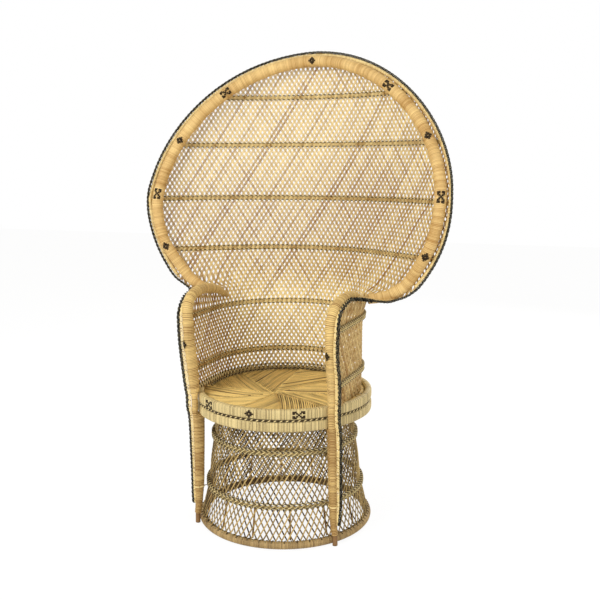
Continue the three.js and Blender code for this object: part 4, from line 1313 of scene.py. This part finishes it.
def base_hoop():
    low, high = box_of("base_hoop")
    height = (high[2] - low[2]) / 2
    track = round_track(high[0] - BASE_RADIUS, height)

    # Painted shade on the hoop's inner side, under the skirt
    def shade(_, x, angle):
        return 0.5 * smooth(-np.cos(angle) * 2)

    wrapped("base_wrapping", track, BASE_PITCH, (BASE_RADIUS, BASE_RADIUS, height), "base",
            ["base_hoop"], 121, around=14, spread=0.45, shade=shade)
    lines, tones = [], []
    pitch = track.length / SKIRT_COUNT
    angle = np.radians(np.linspace(48, 132, 6))
    for i in range(SKIRT_COUNT):
        x = np.mod(pitch * (i + 0.5) + np.linspace(-2, 2, 6), track.length - 0.1)
        lines.append(columns(x, (height + 0.7) * np.sin(angle), (BASE_RADIUS + 0.7) * np.cos(angle)))
        tones.append(0.9 if i % 2 else 0.55)
    strands("base_ties", lines, BASE_TIE, track.place, "stitch", ["base_hoop"], tones,
            seed=122)


# Camera, light and floor

def set_camera():
    heading = CAMERA_YAW - CAMERA_TURN
    level = math.cos(CAMERA_PITCH)
    forward = Vector((math.sin(heading) * level, math.cos(heading) * level, -math.sin(CAMERA_PITCH)))
    right = Vector((math.cos(heading), -math.sin(heading), 0))
    down = forward.cross(right)
    across = right * math.cos(CAMERA_ROLL) + down * math.sin(CAMERA_ROLL)
    upward = right * math.sin(CAMERA_ROLL) - down * math.cos(CAMERA_ROLL)
    x, y = CAMERA_AWAY * math.sin(CAMERA_TURN), -CAMERA_AWAY * math.cos(CAMERA_TURN) + AXIS[1]
    camera = add_object("camera", bpy.data.cameras.new("camera"))
    turned = Matrix((across, upward, -forward)).transposed().to_4x4()
    camera.matrix_world = Matrix.Translation((x, y, CAMERA_HIGH)) @ turned
    camera.data.sensor_width = SENSOR
    camera.data.lens = SENSOR * FOCAL_LENGTH / PICTURE_WIDE
    bpy.context.scene.camera = camera


def show_seen(tree, lighting, seen, end, share=1):
    """Shows one shader to the camera, a reflection or a clear material, and another to light."""
    path = tree.nodes.new("ShaderNodeLightPath").outputs
    looks = figured(tree, "MAXIMUM", path["Is Camera Ray"], path["Is Glossy Ray"])
    looks = figured(tree, "MAXIMUM", looks, path["Is Transmission Ray"])
    looks = figured(tree, "MULTIPLY", looks, share)
    blend = shader_node(tree, "MixShader", {"Fac": looks, 1: lighting.outputs[0], 2: seen.outputs[0]})
    feed(tree, tree.nodes[end], {"Surface": blend.outputs[0]})


def set_world(strength):
    world = bpy.data.worlds.new("studio")
    bpy.context.scene.world = world
    world.use_nodes = True
    tree = world.node_tree
    light = feed(tree, tree.nodes["Background"], {"Color": (1.0, 0.985, 0.96, 1), "Strength": strength})
    show_seen(tree, light, shader_node(tree, "Background", {"Color": (1, 1, 1, 1)}), "World Output")


def set_floor():
    bm = bmesh.new()
    bmesh.ops.create_grid(bm, x_segments=1, y_segments=1, size=9)
    floor = add_object("floor", mesh_from(bm, "floor"))
    material, tree, shader = new_material("Studio floor")
    feed(tree, shader, {"Base Color": (0.9, 0.9, 0.9, 1), "Roughness": 0.9, "Specular IOR Level": 0.1})
    show_seen(tree, shader, shader_node(tree, "Emission", {"Strength": 1.05}), "Material Output", share=0.85)
    floor.data.materials.append(material)


def add_lamp(name, place, aim, size, power):
    lamp = bpy.data.lights.new(name, "AREA")
    lamp.shape = "DISK"
    lamp.size = size
    lamp.energy = power
    obj = add_object(name, lamp)
    obj.location = place
    obj.rotation_euler = (Vector(aim) - Vector(place)).to_track_quat("-Z", "Y").to_euler()


def set_stage():
    bpy.context.scene.view_settings.view_transform = "Standard"
    set_world(0.64)
    set_floor()
    add_lamp("key", place=(-1.2, -3.0, 2.4), aim=(0, 0, 0.7), size=1.8, power=74)
    add_lamp("fill", place=(2.6, -1.6, 1.6), aim=(0, 0, 0.7), size=1.6, power=21)
    add_lamp("back", place=(0.8, 3.2, 2.2), aim=(0, 0, 0.8), size=2.0, power=48)


# The chair

set_camera()
set_stage()

back_weave()
fan_hoop()
fan_trim()
for band in ("fan_band_1", "fan_band_2", "fan_band_3", "fan_band_4", "back_band_lower", "back_band_neck"):
    back_band(band)

for sign, hand in ((1, "right"), (-1, "left")):
    arm(sign, hand)
    arm_trim(sign, hand)
    notch_knot(sign, hand)
    leg_tie(sign, hand)

rim_motifs(rim_band("seat_rim_upper", 131))
rim_band("seat_rim_lower", 132)
rim_twist()
seat_whorl()
seat_painted_shade_disc()
seat_frame()
seat_back_trim()
loose_strand()

skirt_weave()
skirt_band("skirt_band_upper")
skirt_band("skirt_band_lower")
skirt_stakes()
base_hoop()
